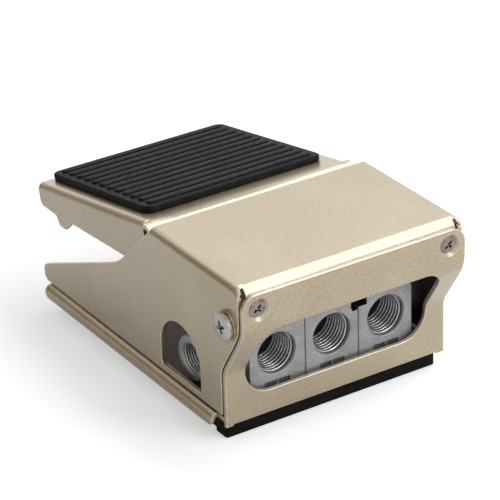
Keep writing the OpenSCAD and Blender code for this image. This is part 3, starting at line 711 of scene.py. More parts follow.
class Finish:
    """Procedural material on object coordinates."""

    def __init__(self, name, **sockets):
        self.material = bpy.data.materials.new(name)
        self.material.use_nodes = True
        self.tree = self.material.node_tree
        self.shader = self.tree.nodes["Principled BSDF"]
        self.where = self.tree.nodes.new("ShaderNodeTexCoord").outputs["Object"]
        for socket, value in sockets.items():
            self.shader.inputs[socket.replace("_", " ")].default_value = value

    def noise(self, size, detail=3.0, rough=0.5):
        return add_node(self.tree, "ShaderNodeTexNoise", "Fac", Vector=self.where, Scale=1 / (size * MM),
                        Detail=detail, Roughness=rough)

    def ramp(self, value, *stops):
        node = self.tree.nodes.new("ShaderNodeValToRGB")
        elements = node.color_ramp.elements
        for i, (position, colour) in enumerate((stops[0], stops[-1])):
            elements[i].position, elements[i].color = position, (*colour, 1)
        for position, colour in stops[1:-1]:
            elements.new(position).color = (*colour, 1)
        self.tree.links.new(value, node.inputs["Fac"])
        return node.outputs["Color"]

    def spread(self, value, low, high):
        """Number that goes from low to high over the middle of a value's range."""
        return add_node(self.tree, "ShaderNodeMapRange", "Result", Value=value, From_Min=0.3, From_Max=0.7,
                        To_Min=low, To_Max=high)

    def mark(self, name):
        """Mark that a piece carries on its faces."""
        return add_node(self.tree, "ShaderNodeAttribute", "Fac", settings={"attribute_name": name})

    def wear_and_highlight(self, colour, lift):
        """Brightens the rounded edges in patches: partly paint worn off, partly a painted highlight where the
        edges catch the light.
        """
        edge = self.ramp(self.mark("wear_and_highlight"), (0.0, (0, 0, 0)), (1.0, lift))
        patches = self.ramp(self.noise(2.5, 3.0), (0.3, (0.35, 0.35, 0.35)), (0.6, (1, 1, 1)))
        return self.mixed("ADD", colour, self.mixed("MULTIPLY", edge, patches))

    def painted_shade(self, full, gone):
        """Painted shade: mark of the faces darkened as if in shade, fading between two places from front to
        rear.
        """
        along = add_node(self.tree, "ShaderNodeSeparateXYZ", "Y", Vector=self.where)
        share = add_node(self.tree, "ShaderNodeMapRange", "Result", {"interpolation_type": "SMOOTHSTEP"},
                         Value=along, From_Min=(full - ORIGIN_Y) * MM, From_Max=(gone - ORIGIN_Y) * MM,
                         To_Min=1.0, To_Max=0.0)
        return add_math(self.tree, "MULTIPLY", self.mark("painted_shade"), share)

    def with_painted_shade(self, colour, dark, share=None):
        """Painted shade: darkens the faces that a piece marks for painted shade."""
        shade = self.ramp(share or self.mark("painted_shade"), (0.0, (1, 1, 1)), (1.0, dark))
        return self.mixed("MULTIPLY", colour, shade)

    def mixed(self, kind, a, b):
        return add_node(self.tree, "ShaderNodeMix", 2, {"data_type": "RGBA", "blend_type": kind},
                        {0: 1.0, 6: a, 7: b})

    def bump(self, height, strength, distance):
        self.link("Normal", add_node(self.tree, "ShaderNodeBump", "Normal", Height=height, Strength=strength,
                                     Distance=distance * MM))

    def link(self, socket, value):
        self.tree.links.new(value, self.shader.inputs[socket])


def champagne_paint():
    paint = Finish("champagne_paint", Coat_Weight=1.0, Coat_Roughness=0.22)
    flake = paint.ramp(paint.noise(0.36, 2.0, 0.65), (0.34, (0.47, 0.38, 0.25)), (0.5, (0.56, 0.465, 0.32)),
                       (0.68, (0.67, 0.565, 0.41)))
    drift = paint.ramp(paint.noise(22, 2.0), (0.3, (0.9, 0.89, 0.87)), (0.7, (1.0, 1.0, 1.0)))
    coat = paint.mixed("MULTIPLY", flake, drift)
    # Rounded edges lighter: partly paint worn off, partly a painted highlight.
    worn_and_lit = paint.wear_and_highlight(coat, (0.24, 0.24, 0.23))
    # Painted shade: inner faces under the cover are darkened nearly to black and lose their metal shine,
    # fading out towards the rear.
    inside = paint.painted_shade(*DARK_INSIDE)
    paint.link("Base Color", paint.with_painted_shade(worn_and_lit, (0.06, 0.056, 0.05), inside))
    paint.link("Metallic", paint.spread(inside, 0.6, 0.0))
    paint.link("Roughness", paint.spread(paint.noise(0.6, 3.0), 0.28, 0.37))
    paint.bump(paint.noise(0.5, 3.0, 0.6), 0.2, 0.04)
    return paint.material


def moulded_rubber(name, gloss, dark, light):
    rubber = Finish(name, Specular_IOR_Level=gloss)
    skin = rubber.ramp(rubber.noise(3.5, 4.0), (0.3, dark), (0.7, light))
    # Marked rib tops are lightened: partly worn rubber, partly a painted highlight.
    rubber.link("Base Color", rubber.wear_and_highlight(skin, (0.022, 0.022, 0.023)))
    rubber.link("Roughness", rubber.spread(rubber.noise(1.2, 4.0), 0.45, 0.6))
    rubber.bump(rubber.noise(0.3, 3.0, 0.6), 0.3, 0.05)
    return rubber.material


def die_casting():
    cast = Finish("die_casting", Metallic=0.55)
    grain = cast.ramp(cast.noise(0.5, 3.0, 0.6), (0.3, (0.35, 0.355, 0.36)), (0.7, (0.55, 0.556, 0.562)))
    flow = cast.ramp(cast.noise(6, 3.0), (0.3, (0.8, 0.8, 0.82)), (0.7, (1.0, 1.0, 1.0)))
    skin = cast.mixed("MULTIPLY", grain, flow)
    # Painted shade: faces marked in the notch, fields and ports are darkened.
    cast.link("Base Color", cast.with_painted_shade(skin, (0.1, 0.1, 0.1)))
    cast.link("Roughness", cast.spread(cast.noise(0.9, 3.0), 0.4, 0.58))
    cast.bump(cast.noise(0.35, 3.0, 0.6), 0.4, 0.06)
    return cast.material


def cut_thread():
    metal = Finish("cut_thread", Metallic=0.9)
    skin = metal.ramp(metal.noise(0.8, 3.0), (0.3, (0.4, 0.4, 0.4)), (0.7, (0.66, 0.66, 0.66)))
    metal.link("Base Color", skin)
    metal.link("Roughness", metal.spread(metal.noise(0.5, 2.0), 0.24, 0.4))
    return metal.material


def plated(name, dark, light, low, high):
    metal = Finish(name, Metallic=1.0)
    skin = metal.ramp(metal.noise(1.1, 4.0), (0.3, dark), (0.7, light))
    # Painted shade: faces marked in a screw's cross recess are darkened.
    metal.link("Base Color", metal.with_painted_shade(skin, (0.1, 0.09, 0.08)))
    metal.link("Roughness", metal.spread(metal.noise(0.4, 3.0), low, high))
    metal.bump(metal.noise(0.25, 2.0), 0.15, 0.02)
    return metal.material


PAINT = champagne_paint()
RUBBER = moulded_rubber("moulded_rubber", 0.12, (0.004, 0.004, 0.0045), (0.01, 0.0102, 0.0115))
MAT_RUBBER = moulded_rubber("mat_rubber", 0.1, (0.003, 0.003, 0.0035), (0.008, 0.0082, 0.009))
CASTING = die_casting()
THREAD = cut_thread()
STEEL = plated("zinc_plate", (0.45, 0.44, 0.425), (0.62, 0.605, 0.585), 0.24, 0.4)
# Painted shade: a darker copy of the zinc plate, for the front screws.
SHADED_ZINC = plated("shaded_zinc", (0.22, 0.2, 0.185), (0.38, 0.35, 0.33), 0.26, 0.42)
YELLOW = plated("yellow_plate", (0.48, 0.35, 0.17), (0.72, 0.57, 0.34), 0.24, 0.4)
BRONZE = plated("sintered_bronze", (0.36, 0.23, 0.09), (0.54, 0.37, 0.16), 0.35, 0.5)
TURNED = plated("turned_alloy", (0.55, 0.56, 0.57), (0.75, 0.76, 0.77), 0.2, 0.34)
SLOT_FINISH = {
    "painted_sheet": PAINT, "black_rubber": RUBBER, "cast_alloy": CASTING, "turned_alloy": TURNED,
    "bright_steel": STEEL, "yellow_plated": YELLOW, "bronze": BRONZE,
}


# Painted sheet pieces

def circle(x, y, radius, steps=40):
    return [Vector((x + radius * math.cos(math.tau * i / steps), y + radius * math.sin(math.tau * i / steps)))
            for i in range(steps)]


def front_panel():
    """Joggled panel with the port window, cut in the front view."""
    face = rounded([
        (0, PANEL_TOP + PANEL_SPARE, 0), (0, JOGGLE_HIGH, JOGGLE_HIGH_R), (JOGGLE, JOGGLE_LOW, JOGGLE_LOW_R),
        (JOGGLE, PANEL_LOW - PANEL_SPARE, 0)])
    foot = PANEL_LOW - EAR_H
    outline = rounded([
        (-PANEL_HALF, foot, 0), (EAR_W - PANEL_HALF, foot, 0), (EAR_W - PANEL_HALF, PANEL_LOW, 0),
        (PANEL_HALF - EAR_W, PANEL_LOW, 0), (PANEL_HALF - EAR_W, foot, 0), (PANEL_HALF, foot, 0),
        (PANEL_HALF, PANEL_TOP, PANEL_CORNER), (-PANEL_HALF, PANEL_TOP, PANEL_CORNER)])
    window = plate(WINDOW_HALF, WINDOW_LOW, WINDOW_HIGH, WINDOW_LOW_R, WINDOW_HIGH_R)
    sinks = [circle(side * FRONT_SCREW[0], FRONT_SCREW[1], FRONT_SINK_R) for side in (-1, 1)]

    def fold(x, z):
        for upper, lower in zip(face, face[1:]):
            if lower.y <= z <= upper.y:
                share = (upper.y - z) / (upper.y - lower.y)
                return Vector((x, upper.x + (lower.x - upper.x) * share, z))
        return Vector((x, face[-1].x, z))

    lines = [("y", p.y) for p in face[1:-1]]
    return folded_sheet("port_panel", outline, [window, *sinks], lines, fold)


def base_tray():
    """Base plate with the two rims bent down."""
    flap = RIM_HALF - BEND_OUT + unbent(RIM_H, BEND_OUT)
    outline = plate(flap, RIM_FRONT, BASE_REAR, RIM_CORNER, RIM_CORNER)
    fold, lines = flap_fold(RIM_HALF, BASE_TOP)
    return folded_sheet("base_tray", outline, [], lines, fold)


def base_tongue():
    """Front edge of the base plate, between the rims' ends and the panel."""
    return made("base_tongue", prism(plate(PANEL_HALF, JOGGLE + SHEET_T, RIM_FRONT), MAT_H, BASE_TOP))


def on_base_floor(centre, normal):
    """The floor between the cover's walls, marked for painted shade."""
    return normal.z > 0.99 and abs(centre.z - BASE_TOP) < 0.1 and abs(centre.x) < COVER_HALF - SHEET_T


def sink_rings():
    """Countersunk seats of the front screws."""
    shank = FRONT_SINK_R - SHEET_T
    profile = [(FRONT_SINK_R, 0), (FRONT_SINK_R, SHEET_T), (shank, SHEET_T)]
    return made("sink_rings", joined(*[
        (lathe(profile), facing(side * FRONT_SCREW[0], 0, FRONT_SCREW[1], (0, 1, 0))) for side in (-1, 1)]))


def cover_sheet():
    """Top with its two walls, and the flange behind the panel."""
    side = COVER_HALF - BEND_OUT

    def wall(y, z, radius=0.0):
        return side + unbent(COVER_TOP - z, BEND_OUT), y, radius

    seam_z = COVER_TOP - SEAM_DROP
    lean = (KNEE[0] - COVER_REAR) / (seam_z - KNEE[1])
    shoulder = [wall(COVER_REAR + (seam_z - z) * lean, z)
                for z in (COVER_TOP - BEND_OUT, *[COVER_TOP - drop for drop in SHOULDER_DROPS], seam_z)]
    flange_end = SHEET_T + COVER_NOSE_R - unbent(FLANGE_H, COVER_NOSE_R)
    drop = WALL_SET * SET_DROP
    half = rounded([
        (0, flange_end, 0), (FLANGE_HALF, flange_end, FLANGE_CORNER), (FLANGE_HALF, RELIEF_L, 0),
        (FLANGE_HALF + RELIEF_W, RELIEF_L, 0), (FLANGE_HALF + RELIEF_W, WALL_SET, WALL_CORNER),
        wall(WALL_SET, JOGGLE_HIGH + drop, JOGGLE_HIGH_R - WALL_SET),
        wall(WALL_SET + JOGGLE, JOGGLE_LOW + drop, JOGGLE_LOW_R + WALL_SET),
        wall(WALL_SET + JOGGLE, WALL_LOW, WALL_CORNER), wall(TAIL_REAR, WALL_LOW, TAIL_R),
        wall(TAIL_REAR, WALL_LOW + TAIL_H, TAIL_R), wall(*KNEE), *shoulder,
        (side, COVER_REAR, 0), (0, COVER_REAR, 0)])
    sill, spring = wall(ARCH_Y, ARCH_SILL)[0], wall(ARCH_Y, ARCH_Z)[0]

    def arch(r):
        crown = r - ARCH_SLACK
        return rounded([(sill, ARCH_Y - r, ARCH_CORNER), (spring - r, ARCH_Y - r, crown),
                        (spring - r, ARCH_Y + r, crown), (sill, ARCH_Y + r, ARCH_CORNER)])

    arches = [arch(RIGHT_ARCH_R), [Vector((-p.x, p.y)) for p in arch(ARCH_R)]]
    fold, lines = flap_fold(COVER_HALF, COVER_TOP, front=SHEET_T, nose=COVER_NOSE_R)
    return folded_sheet("cover_sheet", mirrored(half), arches, lines, fold)


PEDAL_PLACE = Matrix.Translation((0, PEDAL_Y, PEDAL_Z)) @ Matrix.Rotation(-PEDAL_TILT, 4, "X")


def pedal_sheet():
    """Pedal plate with its skirts and arms, front flange and rear lip."""
    side = PEDAL_HALF - BEND_OUT
    c, s = math.cos(PEDAL_TILT), math.sin(PEDAL_TILT)

    def skirt(y, z, radius=0.0):
        """Place in the flat skirt of a point in the side view."""
        dy, dz = y - PEDAL_Y, z - PEDAL_Z
        return side + unbent(-(dy * s + dz * c), BEND_OUT), dy * c - dz * s, radius

    rear_y = PEDAL_Y + PEDAL_L * c - PEDAL_LIP * s - SKIRT_SHORT
    tooth = rear_y - TOOTH_BACK
    tip = (tooth - TOOTH_W / 2, tooth + TOOTH_W / 2)
    lug = [skirt(PIVOT[0] + LUG_R * math.cos(math.radians(t)), PIVOT[1] + LUG_R * math.sin(math.radians(t)))
           for t in LUG_DEGREES]
    flange_end = PEDAL_NOSE_R - unbent(PEDAL_FLANGE, PEDAL_NOSE_R)
    nose_low = PEDAL_NOSE_R - unbent(NOSE_DROP, PEDAL_NOSE_R)
    nose_end = SKIRT_FROM - NOSE_SLIT
    lip_end = PEDAL_L - BEND_OUT + unbent(PEDAL_LIP, BEND_OUT)
    notch_end = PEDAL_L - BEND_OUT - LIP_NOTCH
    inset = side - BEND_SLIT
    half = rounded([
        (0, flange_end, 0), (inset, flange_end, LIP_CORNER), (inset, nose_low, 0),
        (NOSE_HALF, nose_low, NOSE_CORNER), (NOSE_HALF, nose_end, NOSE_CORNER),
        (inset, nose_end, 0), (inset, SKIRT_FROM, 0),
        (side + unbent(BEND_OUT + SKIRT_NOTCH, BEND_OUT), SKIRT_FROM, 0), skirt(*ARM_END), *lug,
        skirt(*ARM_FROM), skirt(tip[0] - TOOTH_FOOT[0], SKIRT_Z + TOOTH_RISE, TOOTH_ROUND[0]),
        skirt(tip[0], SKIRT_Z - TOOTH_H, TOOTH_ROUND[1]), skirt(tip[1], SKIRT_Z - TOOTH_H, TOOTH_ROUND[2]),
        skirt(tip[1] + TOOTH_FOOT[1], SKIRT_Z, TOOTH_ROUND[3]), skirt(rear_y, SKIRT_Z, SKIRT_CORNER),
        (side + unbent(BEND_OUT, BEND_OUT), SKIRT_TO, 0), (side, SKIRT_TO, SKIRT_END_R),
        (side, notch_end, 0), (LIP_HALF, notch_end, 0), (LIP_HALF, lip_end, LIP_CORNER), (0, lip_end, 0)])
    fold, lines = flap_fold(PEDAL_HALF, 0, 0, PEDAL_L, PEDAL_NOSE_R, NOSE_HALF)
    return folded_sheet("pedal_sheet", mirrored(half), [], lines, fold, TO_FRAME @ PEDAL_PLACE)


def join_pieces(first, *others):
    """Joins objects into the first."""
    bm = bmesh.new()
    for obj in (first, *others):
        bm.from_mesh(obj.data)
    bm.to_mesh(first.data)
    bm.free()
    for obj in others:
        bpy.data.objects.remove(obj)
    return first


base = join_pieces(front_panel(), base_tray(), softened(base_tongue(), EDGE_ROUND),
                   softened(sink_rings(), SINK_ROUND, 1))
# Painted shade: the base floor between the walls is darkened as if in shade.
mark_painted_shade(base, on_base_floor)
dressed(base, PAINT, "base", "painted_sheet", "base_plate")
dressed(cover_sheet(), PAINT, "base", "painted_sheet", "cover")
dressed(pedal_sheet(), PAINT, "pedal_assembly", "painted_sheet", "pedal")


# Rubber pieces

def foot_mat():
    """Mat with a wider bead along its front."""
    wide = MAT_HALF + MAT_BEAD
    rear = MAT_FRONT + BEAD_D
    outline = rounded([
        (-wide, MAT_FRONT, MAT_CORNER), (wide, MAT_FRONT, MAT_CORNER), (wide, rear, BEAD_ROUND[0]),
        (MAT_HALF, rear, BEAD_ROUND[1]), (MAT_HALF, MAT_REAR, MAT_CORNER), (-MAT_HALF, MAT_REAR, MAT_CORNER),
        (-MAT_HALF, rear, BEAD_ROUND[1]), (-wide, rear, BEAD_ROUND[0])])
    return softened(made("floor_mat", prism(outline, 0, MAT_H)), MAT_ROUND, 3)


def rib_pattern():
    """One rounded rib along X, with rounded ends, its foot at z = 0."""
    half = PAD_HALF - RIB_BORDER
    quarter = [math.pi / 2 * k / RIB_END_STEPS for k in range(RIB_END_STEPS + 1)]
    turns = [math.pi * k / RIB_STEPS for k in range(RIB_STEPS + 1)]
    stations = [(-half + RIB_W / 2 * (1 - math.sin(t)), max(math.cos(t), RIB_TIP)) for t in reversed(quarter)]
    stations += [(-x, share) for x, share in reversed(stations)]
    bm = bmesh.new()
    rows = []
    for x, share in stations:
        wide, high = RIB_W / 2 * share, RIB_H * share ** 0.5
        rows.append([bm.verts.new((x, -wide * math.cos(t), high * math.sin(t) ** RIB_FULL - RIB_SINK))
                     for t in turns])
    for row, after in zip(rows, rows[1:]):
        for (a, b), (c, d) in zip(around(row), around(after)):
            bm.faces.new((a, b, d, c))
    bm.faces.new(rows[0])
    bm.faces.new(rows[-1])
    bmesh.ops.recalc_face_normals(bm, faces=bm.faces[:])
    rib = made("rib_pattern", bm, AT_ORIGIN)
    # Rib tops facing up are marked to be lighter: partly worn rubber, partly a painted highlight.
    crown = rib.data.attributes.new("wear_and_highlight", "FLOAT", "FACE")
    for face in rib.data.polygons:
        crown.data[face.index].value = float(face.normal.z > CROWN_SLOPE)
    return rib


def pedal_pad():
    """Pad sheet with rounded edges and its row of ribs."""
    outline = plate(PAD_HALF, 0, PAD_L, PAD_CORNER, PAD_CORNER)
    here = TO_FRAME @ PEDAL_PLACE @ Matrix.Translation((0, PAD_START, 0))
    slab = softened(made("pad_slab", prism(outline, 0, PAD_H - RIB_H), here), PAD_ROUND, 4)
    pattern = rib_pattern()
    ribs = grown(places("pad_ribs", []), rib_tree(), Pattern=pattern, Count=RIB_COUNT,
                 Pitch=(0, RIB_PITCH * MM, 0), Material=RUBBER)
    bpy.data.objects.remove(pattern)
    foot = Matrix.Translation((0, RIB_BORDER + RIB_W / 2, PAD_H - RIB_H))
    ribs.data.transform(here @ foot @ Matrix.Scale(1 / MM, 4))
    return join_pieces(slab, ribs)


dressed(foot_mat(), MAT_RUBBER, "base", "black_rubber", "foot_mat")
dressed(pedal_pad(), RUBBER, "pedal_assembly", "black_rubber", "pedal_pad")


# Valve body

def port_cutter(root, mouth, chamfer, depth):
    """Closed cutter of a chamfered blind port along +Z from a face at z = 0."""
    start = -CUT_SPARE
    return lathe([(0, start), (mouth, start), (mouth, 0), (root, chamfer), (root, depth), (0, depth)], 64)


def front_cut(casting, name, depth, *spans):
    """Cuts boxes of one depth into the front, each from its x0, x1, z0 and z1."""
    boxes = []
    for x0, x1, z0, z1 in spans:
        low, high = BODY_FRONT - CUT_SPARE, BODY_FRONT + depth
        corners = [Vector((x0, low)), Vector((x1, low)), Vector((x1, high)), Vector((x0, high))]
        boxes.append((prism(corners, z0, z1), Matrix.Identity(4)))
    cut(casting, made(name, joined(*boxes)))


def port_number(x, digit):
    """Raised number in the field under a port."""
    text = bpy.data.curves.new("number", "FONT")
    text.body = digit
    text.size = NUMBER_H / DIGIT_SHARE
    text.align_x = "CENTER"
    text.extrude = FIELD_DEPTH * NUMBER_RISE
    text.offset = NUMBER_STROKE
    obj = placed("number", text)
    mesh = bpy.data.meshes.new_from_object(obj.evaluated_get(bpy.context.evaluated_depsgraph_get()))
    bpy.data.objects.remove(obj)
    foot = sum(FIELD_Z) / 2 - NUMBER_H / 2
    mesh.transform(TO_FRAME @ facing(x, BODY_FRONT + FIELD_DEPTH / 2, foot, (0, -1, 0)))
    return placed("number", mesh)


def in_body_recess(centre, normal):
    """Painted shade: how dark the notch, the number fields and the front ports are inside."""
    y = centre.y + ORIGIN_Y
    if y < BODY_FRONT + MARK_FROM or y > BODY_FRONT + PORT_DEPTH + 2 * MARK_SLACK:
        return 0.0
    low = BODY_TOP - SLOT_DROPS[0] - 2 * MARK_SLACK
    if NOTCH_X[0] - MARK_SLACK < centre.x < NOTCH_X[1] + MARK_SLACK and centre.z > low:
        return 1.0
    for port_x in PORT_XS:
        x = abs(centre.x - port_x)
        if x <= FIELD_HALF + MARK_SLACK and FIELD_Z[0] - MARK_SLACK <= centre.z <= FIELD_Z[1] + MARK_SLACK:
            return FIELD_SHADE
        if y > BODY_FRONT + PORT_CHAMFER and math.hypot(x, centre.z - PORT_Z) < PORT_ROOT_R + 2 * MARK_SLACK:
            return PORT_SHADE
    return 0.0


def valve_body():
    """Casting with its side bosses, its tower, its ports and the small relief on its front."""
    outline = rounded([
        (-BODY_HALF, BASE_TOP, BODY_FOOT_R), (BODY_HALF, BASE_TOP, BODY_FOOT_R),
        (BODY_HALF, BODY_TOP - BODY_EDGE, BODY_EDGE_R), (BODY_HALF - BODY_EDGE, BODY_TOP, BODY_EDGE_R),
        (BODY_EDGE - BODY_HALF, BODY_TOP, BODY_EDGE_R), (-BODY_HALF, BODY_TOP - BODY_EDGE, BODY_EDGE_R)])
    turned = Matrix.Translation((0, BODY_REAR, 0)) @ Matrix.Rotation(math.pi / 2, 4, "X")
    casting = made("valve_casting", joined((prism(outline, 0, BODY_REAR - BODY_FRONT), turned)))
    lugs = [(rod(BOSS_R, BOSS_END - BODY_HALF + LUG_ROOT),
             facing(side * (BODY_HALF - LUG_ROOT), ARCH_Y, SIDE_PORT_Z, (side, 0, 0))) for side in (-1, 1)]
    lugs.append((rod(TOWER_R, TOWER_TOP - BODY_TOP + LUG_ROOT),
                 Matrix.Translation((0, ARCH_Y, BODY_TOP - LUG_ROOT))))
    cut(casting, made("lugs", joined(*lugs)), "UNION")
    ports = [(port_cutter(PORT_ROOT_R, PORT_MOUTH_R, PORT_CHAMFER, PORT_DEPTH),
              facing(x, BODY_FRONT, PORT_Z, (0, 1, 0))) for x in PORT_XS]
    ports += [(port_cutter(SIDE_ROOT_R, SIDE_MOUTH_R, SIDE_CHAMFER, SIDE_DEPTH),
               facing(side * BOSS_END, ARCH_Y, SIDE_PORT_Z, (-side, 0, 0))) for side in (-1, 1)]
    ports.append((rod(BORE_R, BORE_CUT), Matrix.Translation((0, ARCH_Y, TOWER_TOP - BORE_DEPTH))))
    cut(casting, made("ports", joined(*ports)))
    over = BODY_TOP + CUT_SPARE
    front_cut(casting, "section_lines", LINE_DEPTH,
              *[(x - LINE_HALF, x + LINE_HALF, BASE_TOP - CUT_SPARE, over) for x in (-LINE_X, LINE_X)])
    front_cut(casting, "number_fields", FIELD_DEPTH,
              *[(x - FIELD_HALF, x + FIELD_HALF, *FIELD_Z) for x in PORT_XS])
    front_cut(casting, "notch", NOTCH_DEPTH, (*NOTCH_X, BODY_TOP - NOTCH_H, over))
    front_cut(casting, "slot", NOTCH_DEPTH, (*SLOT_X, *[BODY_TOP - drop for drop in SLOT_DROPS]))
    softened(casting, CAST_ROUND, 2, 30)
    join_pieces(casting, *[port_number(x, digit) for x, digit in zip(PORT_XS, PORT_NUMBERS)])
    return mark_painted_shade(casting, in_body_recess)


def port_threads(name, spots, radius, pitch, depth):
    """Ridges of the threads in ports of one size."""
    run = depth - THREAD_END * pitch
    ridges = grown(places(name, spots), coil_tree("port_threads", 4, 48, math.pi), Radius=radius * MM,
                   Height=run * MM, Turns=run / pitch, Wire=pitch * THREAD_RIDGE * MM, Material=THREAD)
    return dressed(ridges, THREAD, "base", "cast_alloy")


dressed(valve_body(), CASTING, "base", "cast_alloy", "valve_body")
front_spots = [((x, BODY_FRONT + PORT_THREAD, PORT_Z), (0, 1, 0)) for x in PORT_XS]
side_spots = [((side * (BOSS_END - SIDE_THREAD), ARCH_Y, SIDE_PORT_Z), (-side, 0, 0)) for side in (-1, 1)]
port_threads("front_threads", front_spots, PORT_ROOT_R, PORT_THREAD, PORT_DEPTH)
port_threads("side_threads", side_spots, SIDE_ROOT_R, SIDE_THREAD, SIDE_DEPTH)


# Screws and washers

def cross_cutter(reach, width, depth):
    """Tapered cross recess that starts above the face at z = 0 and ends below it."""
    square = ((-1, -1), (1, -1), (1, 1), (-1, 1))
    parts = []
    for turn in (0, math.pi / 2):
        bm = bmesh.new()
        top = [bm.verts.new((x * reach, y * width / 2, CROSS_RISE)) for x, y in square]
        low = [bm.verts.new((x * reach * CROSS_TAPER[0], y * width / 2 * CROSS_TAPER[1], -depth))
               for x, y in square]
        bm.faces.new(top)
        bm.faces.new(low)
        for (a, b), (c, d) in zip(around(top), around(low)):
            bm.faces.new((a, b, d, c))
        bmesh.ops.recalc_face_normals(bm, faces=bm.faces[:])
        parts.append((bm, Matrix.Rotation(turn, 4, "Z")))
    return joined(*parts)


def sunk_screw():
    """Countersunk cross-recess screw with its face at z = 0 and its shank towards -z."""
    shank = FRONT_SINK_R - SHEET_T
    profile = [(0, 0), (FRONT_HEAD_R - FRONT_BREAK, 0), (FRONT_HEAD_R, -FRONT_BREAK),
               (shank, FRONT_RECESS - SHEET_T), (shank, -FRONT_SHANK), (0, -FRONT_SHANK)]
    screw = made("sunk_screw", lathe(profile), AT_ORIGIN)
    turned = AT_ORIGIN @ Matrix.Rotation(FRONT_TURN, 4, "Z")
    cut(screw, made("cross", cross_cutter(*FRONT_CROSS), turned))
    softened(screw, FRONT_ROUND, 2, 30)
    # Painted shade: the faces inside the cross recess are marked to be darkened.
    return mark_painted_shade(screw, lambda centre, normal: centre.z < -FRONT_BREAK and centre.xy.length < CROSS_MARK)


def pan_screw():
    """Pan-head cross-recess screw with its head's underside at z = 0, and its shank below."""
    dome = [(max(HEAD_R * math.cos(t), 0), HEAD_H - HEAD_DOME + HEAD_DOME * math.sin(t))
            for t in (math.radians(a) for a in range(0, 91, 10))]
    profile = [(0, 0), (HEAD_R - HEAD_BREAK, 0), (HEAD_R, HEAD_BREAK), *dome]
    screw = made("pan_screw", lathe(profile), AT_ORIGIN)
    turned = AT_ORIGIN @ Matrix.Translation((0, 0, HEAD_H)) @ Matrix.Rotation(HEAD_TURN, 4, "Z")
    cut(screw, made("cross", cross_cutter(*HEAD_CROSS), turned))
    softened(screw, HEAD_ROUND, 2, 30)

    # Painted shade: the faces deep in the cross recess are marked to be darkened.
    def in_cross(centre, normal):
        deep = HEAD_MARK_LOW < centre.z < HEAD_H - HEAD_MARK_TOP
        return HEAD_CROSS_SHADE * (deep and centre.xy.length < HEAD_CROSS[0])

    mark_painted_shade(screw, in_cross)
    return join_pieces(screw, made("hinge_shank", rod(HINGE_R, -HINGE_SHANK), AT_ORIGIN))


def ring_pattern(name, inner, outer, thick, sweep=math.tau, rise=0.0):
    ring = lathe([(inner, 0), (outer, 0), (outer, thick), (inner, thick)], 56, sweep, rise)
    return softened(made(name, ring, AT_ORIGIN), WASHER_ROUND, 2, 30)


def repeated(name, pattern, spots, finish, slot, node):
    """Copies of one fastener at its places."""
    row = grown(places(name, spots), COPIES, Pattern=pattern, Material=finish)
    bpy.data.objects.remove(pattern)
    return dressed(row, finish, "base", slot, node)


def hinge_spots(x):
    return [((side * x, PIVOT[0], PIVOT[1]), (side, 0, 0)) for side in (-1, 1)]


COPIES = copies_tree()
sunk_spots = [((side * FRONT_SCREW[0], FRONT_RECESS, FRONT_SCREW[1]), (0, -1, 0)) for side in (-1, 1)]
flat_washer = ring_pattern("flat_washer", WASHER_BORE, WASHER_R, WASHER_T)
repeated("panel_screws", sunk_screw(), sunk_spots, SHADED_ZINC, "bright_steel", "front_screws")
repeated("hinge_washers", flat_washer, hinge_spots(COVER_HALF), YELLOW, "yellow_plated", "pivot_washers")
split_washer = ring_pattern("split_washer", HINGE_R, HEAD_R - SPLIT_INSET, SPLIT_T - SPLIT_LIFT,
                            SPLIT_SWEEP, SPLIT_LIFT)
repeated("hinge_split_washers", split_washer, hinge_spots(COVER_HALF + WASHER_T), STEEL, "bright_steel",
         "pivot_split_washers")
repeated("hinge_screws", pan_screw(), hinge_spots(COVER_HALF + WASHER_T + SPLIT_T), STEEL, "bright_steel",
         "pivot_screws")


# Springs

def coil_spring(name, node, y, foot, head, radius, wire, turns):
    """Round-wire spring that stands between two heights."""
    coil = grown(places(name, [((0, y, foot + wire), (0, 0, 1))]), coil_tree("coil_spring", 12, 32, 0.0),
                 Radius=radius * MM, Height=(head - foot - 2 * wire) * MM, Turns=float(turns),
                 Wire=wire * MM, Material=STEEL)
    return dressed(coil, STEEL, "base", "bright_steel", node)


spool_spring = coil_spring("valve_spring", "spool_spring", ARCH_Y, SPOOL_SPRING_FOOT, SPOOL_SPRING_HEAD,
                           SPOOL_SPRING_R, SPOOL_SPRING_WIRE, SPOOL_SPRING_TURNS)
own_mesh(spool_spring)
spring = coil_spring("lift_spring", "pedal_spring", SPRING_Y, SPRING_FOOT, SPRING_HEAD,
                     SPRING_R, SPRING_WIRE, SPRING_TURNS)
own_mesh(spring)

# The other solids keep their shape and take their finish
slots = {row["node"]: row["material_slot"] for row in frame["record"]["subparts"]}
for node, obj in frame["nodes"].items():
    obj.data.materials.clear()
    obj.data.materials.append(SLOT_FINISH[slots[node]])


# Studio

AMBIENT = 0.25
FLOOR_SIZE = 3.0
FLOOR_DROP = 0.0001
FLOOR_LIFT = 0.5
FLOOR_GLINT = 0.12
DIM_SIDE = (-0.69, 0.69, 0.2)
DIM_ZONE = (0.62, 0.95)
DIM_LEVEL = 0.3
DIM_COLOUR = (1.0, 0.8, 0.5)
LAMP_AIM = Vector((0, -0.01, 0.03))


def shown_to_eye(tree):
    """1 for rays from the camera, and for reflections and glass."""
    path = tree.nodes.new("ShaderNodeLightPath")
    total = path.outputs["Is Camera Ray"]
    for name in ("Is Glossy Ray", "Is Transmission Ray"):
        total = add_math(tree, "MAXIMUM", total, path.outputs[name])
    return total


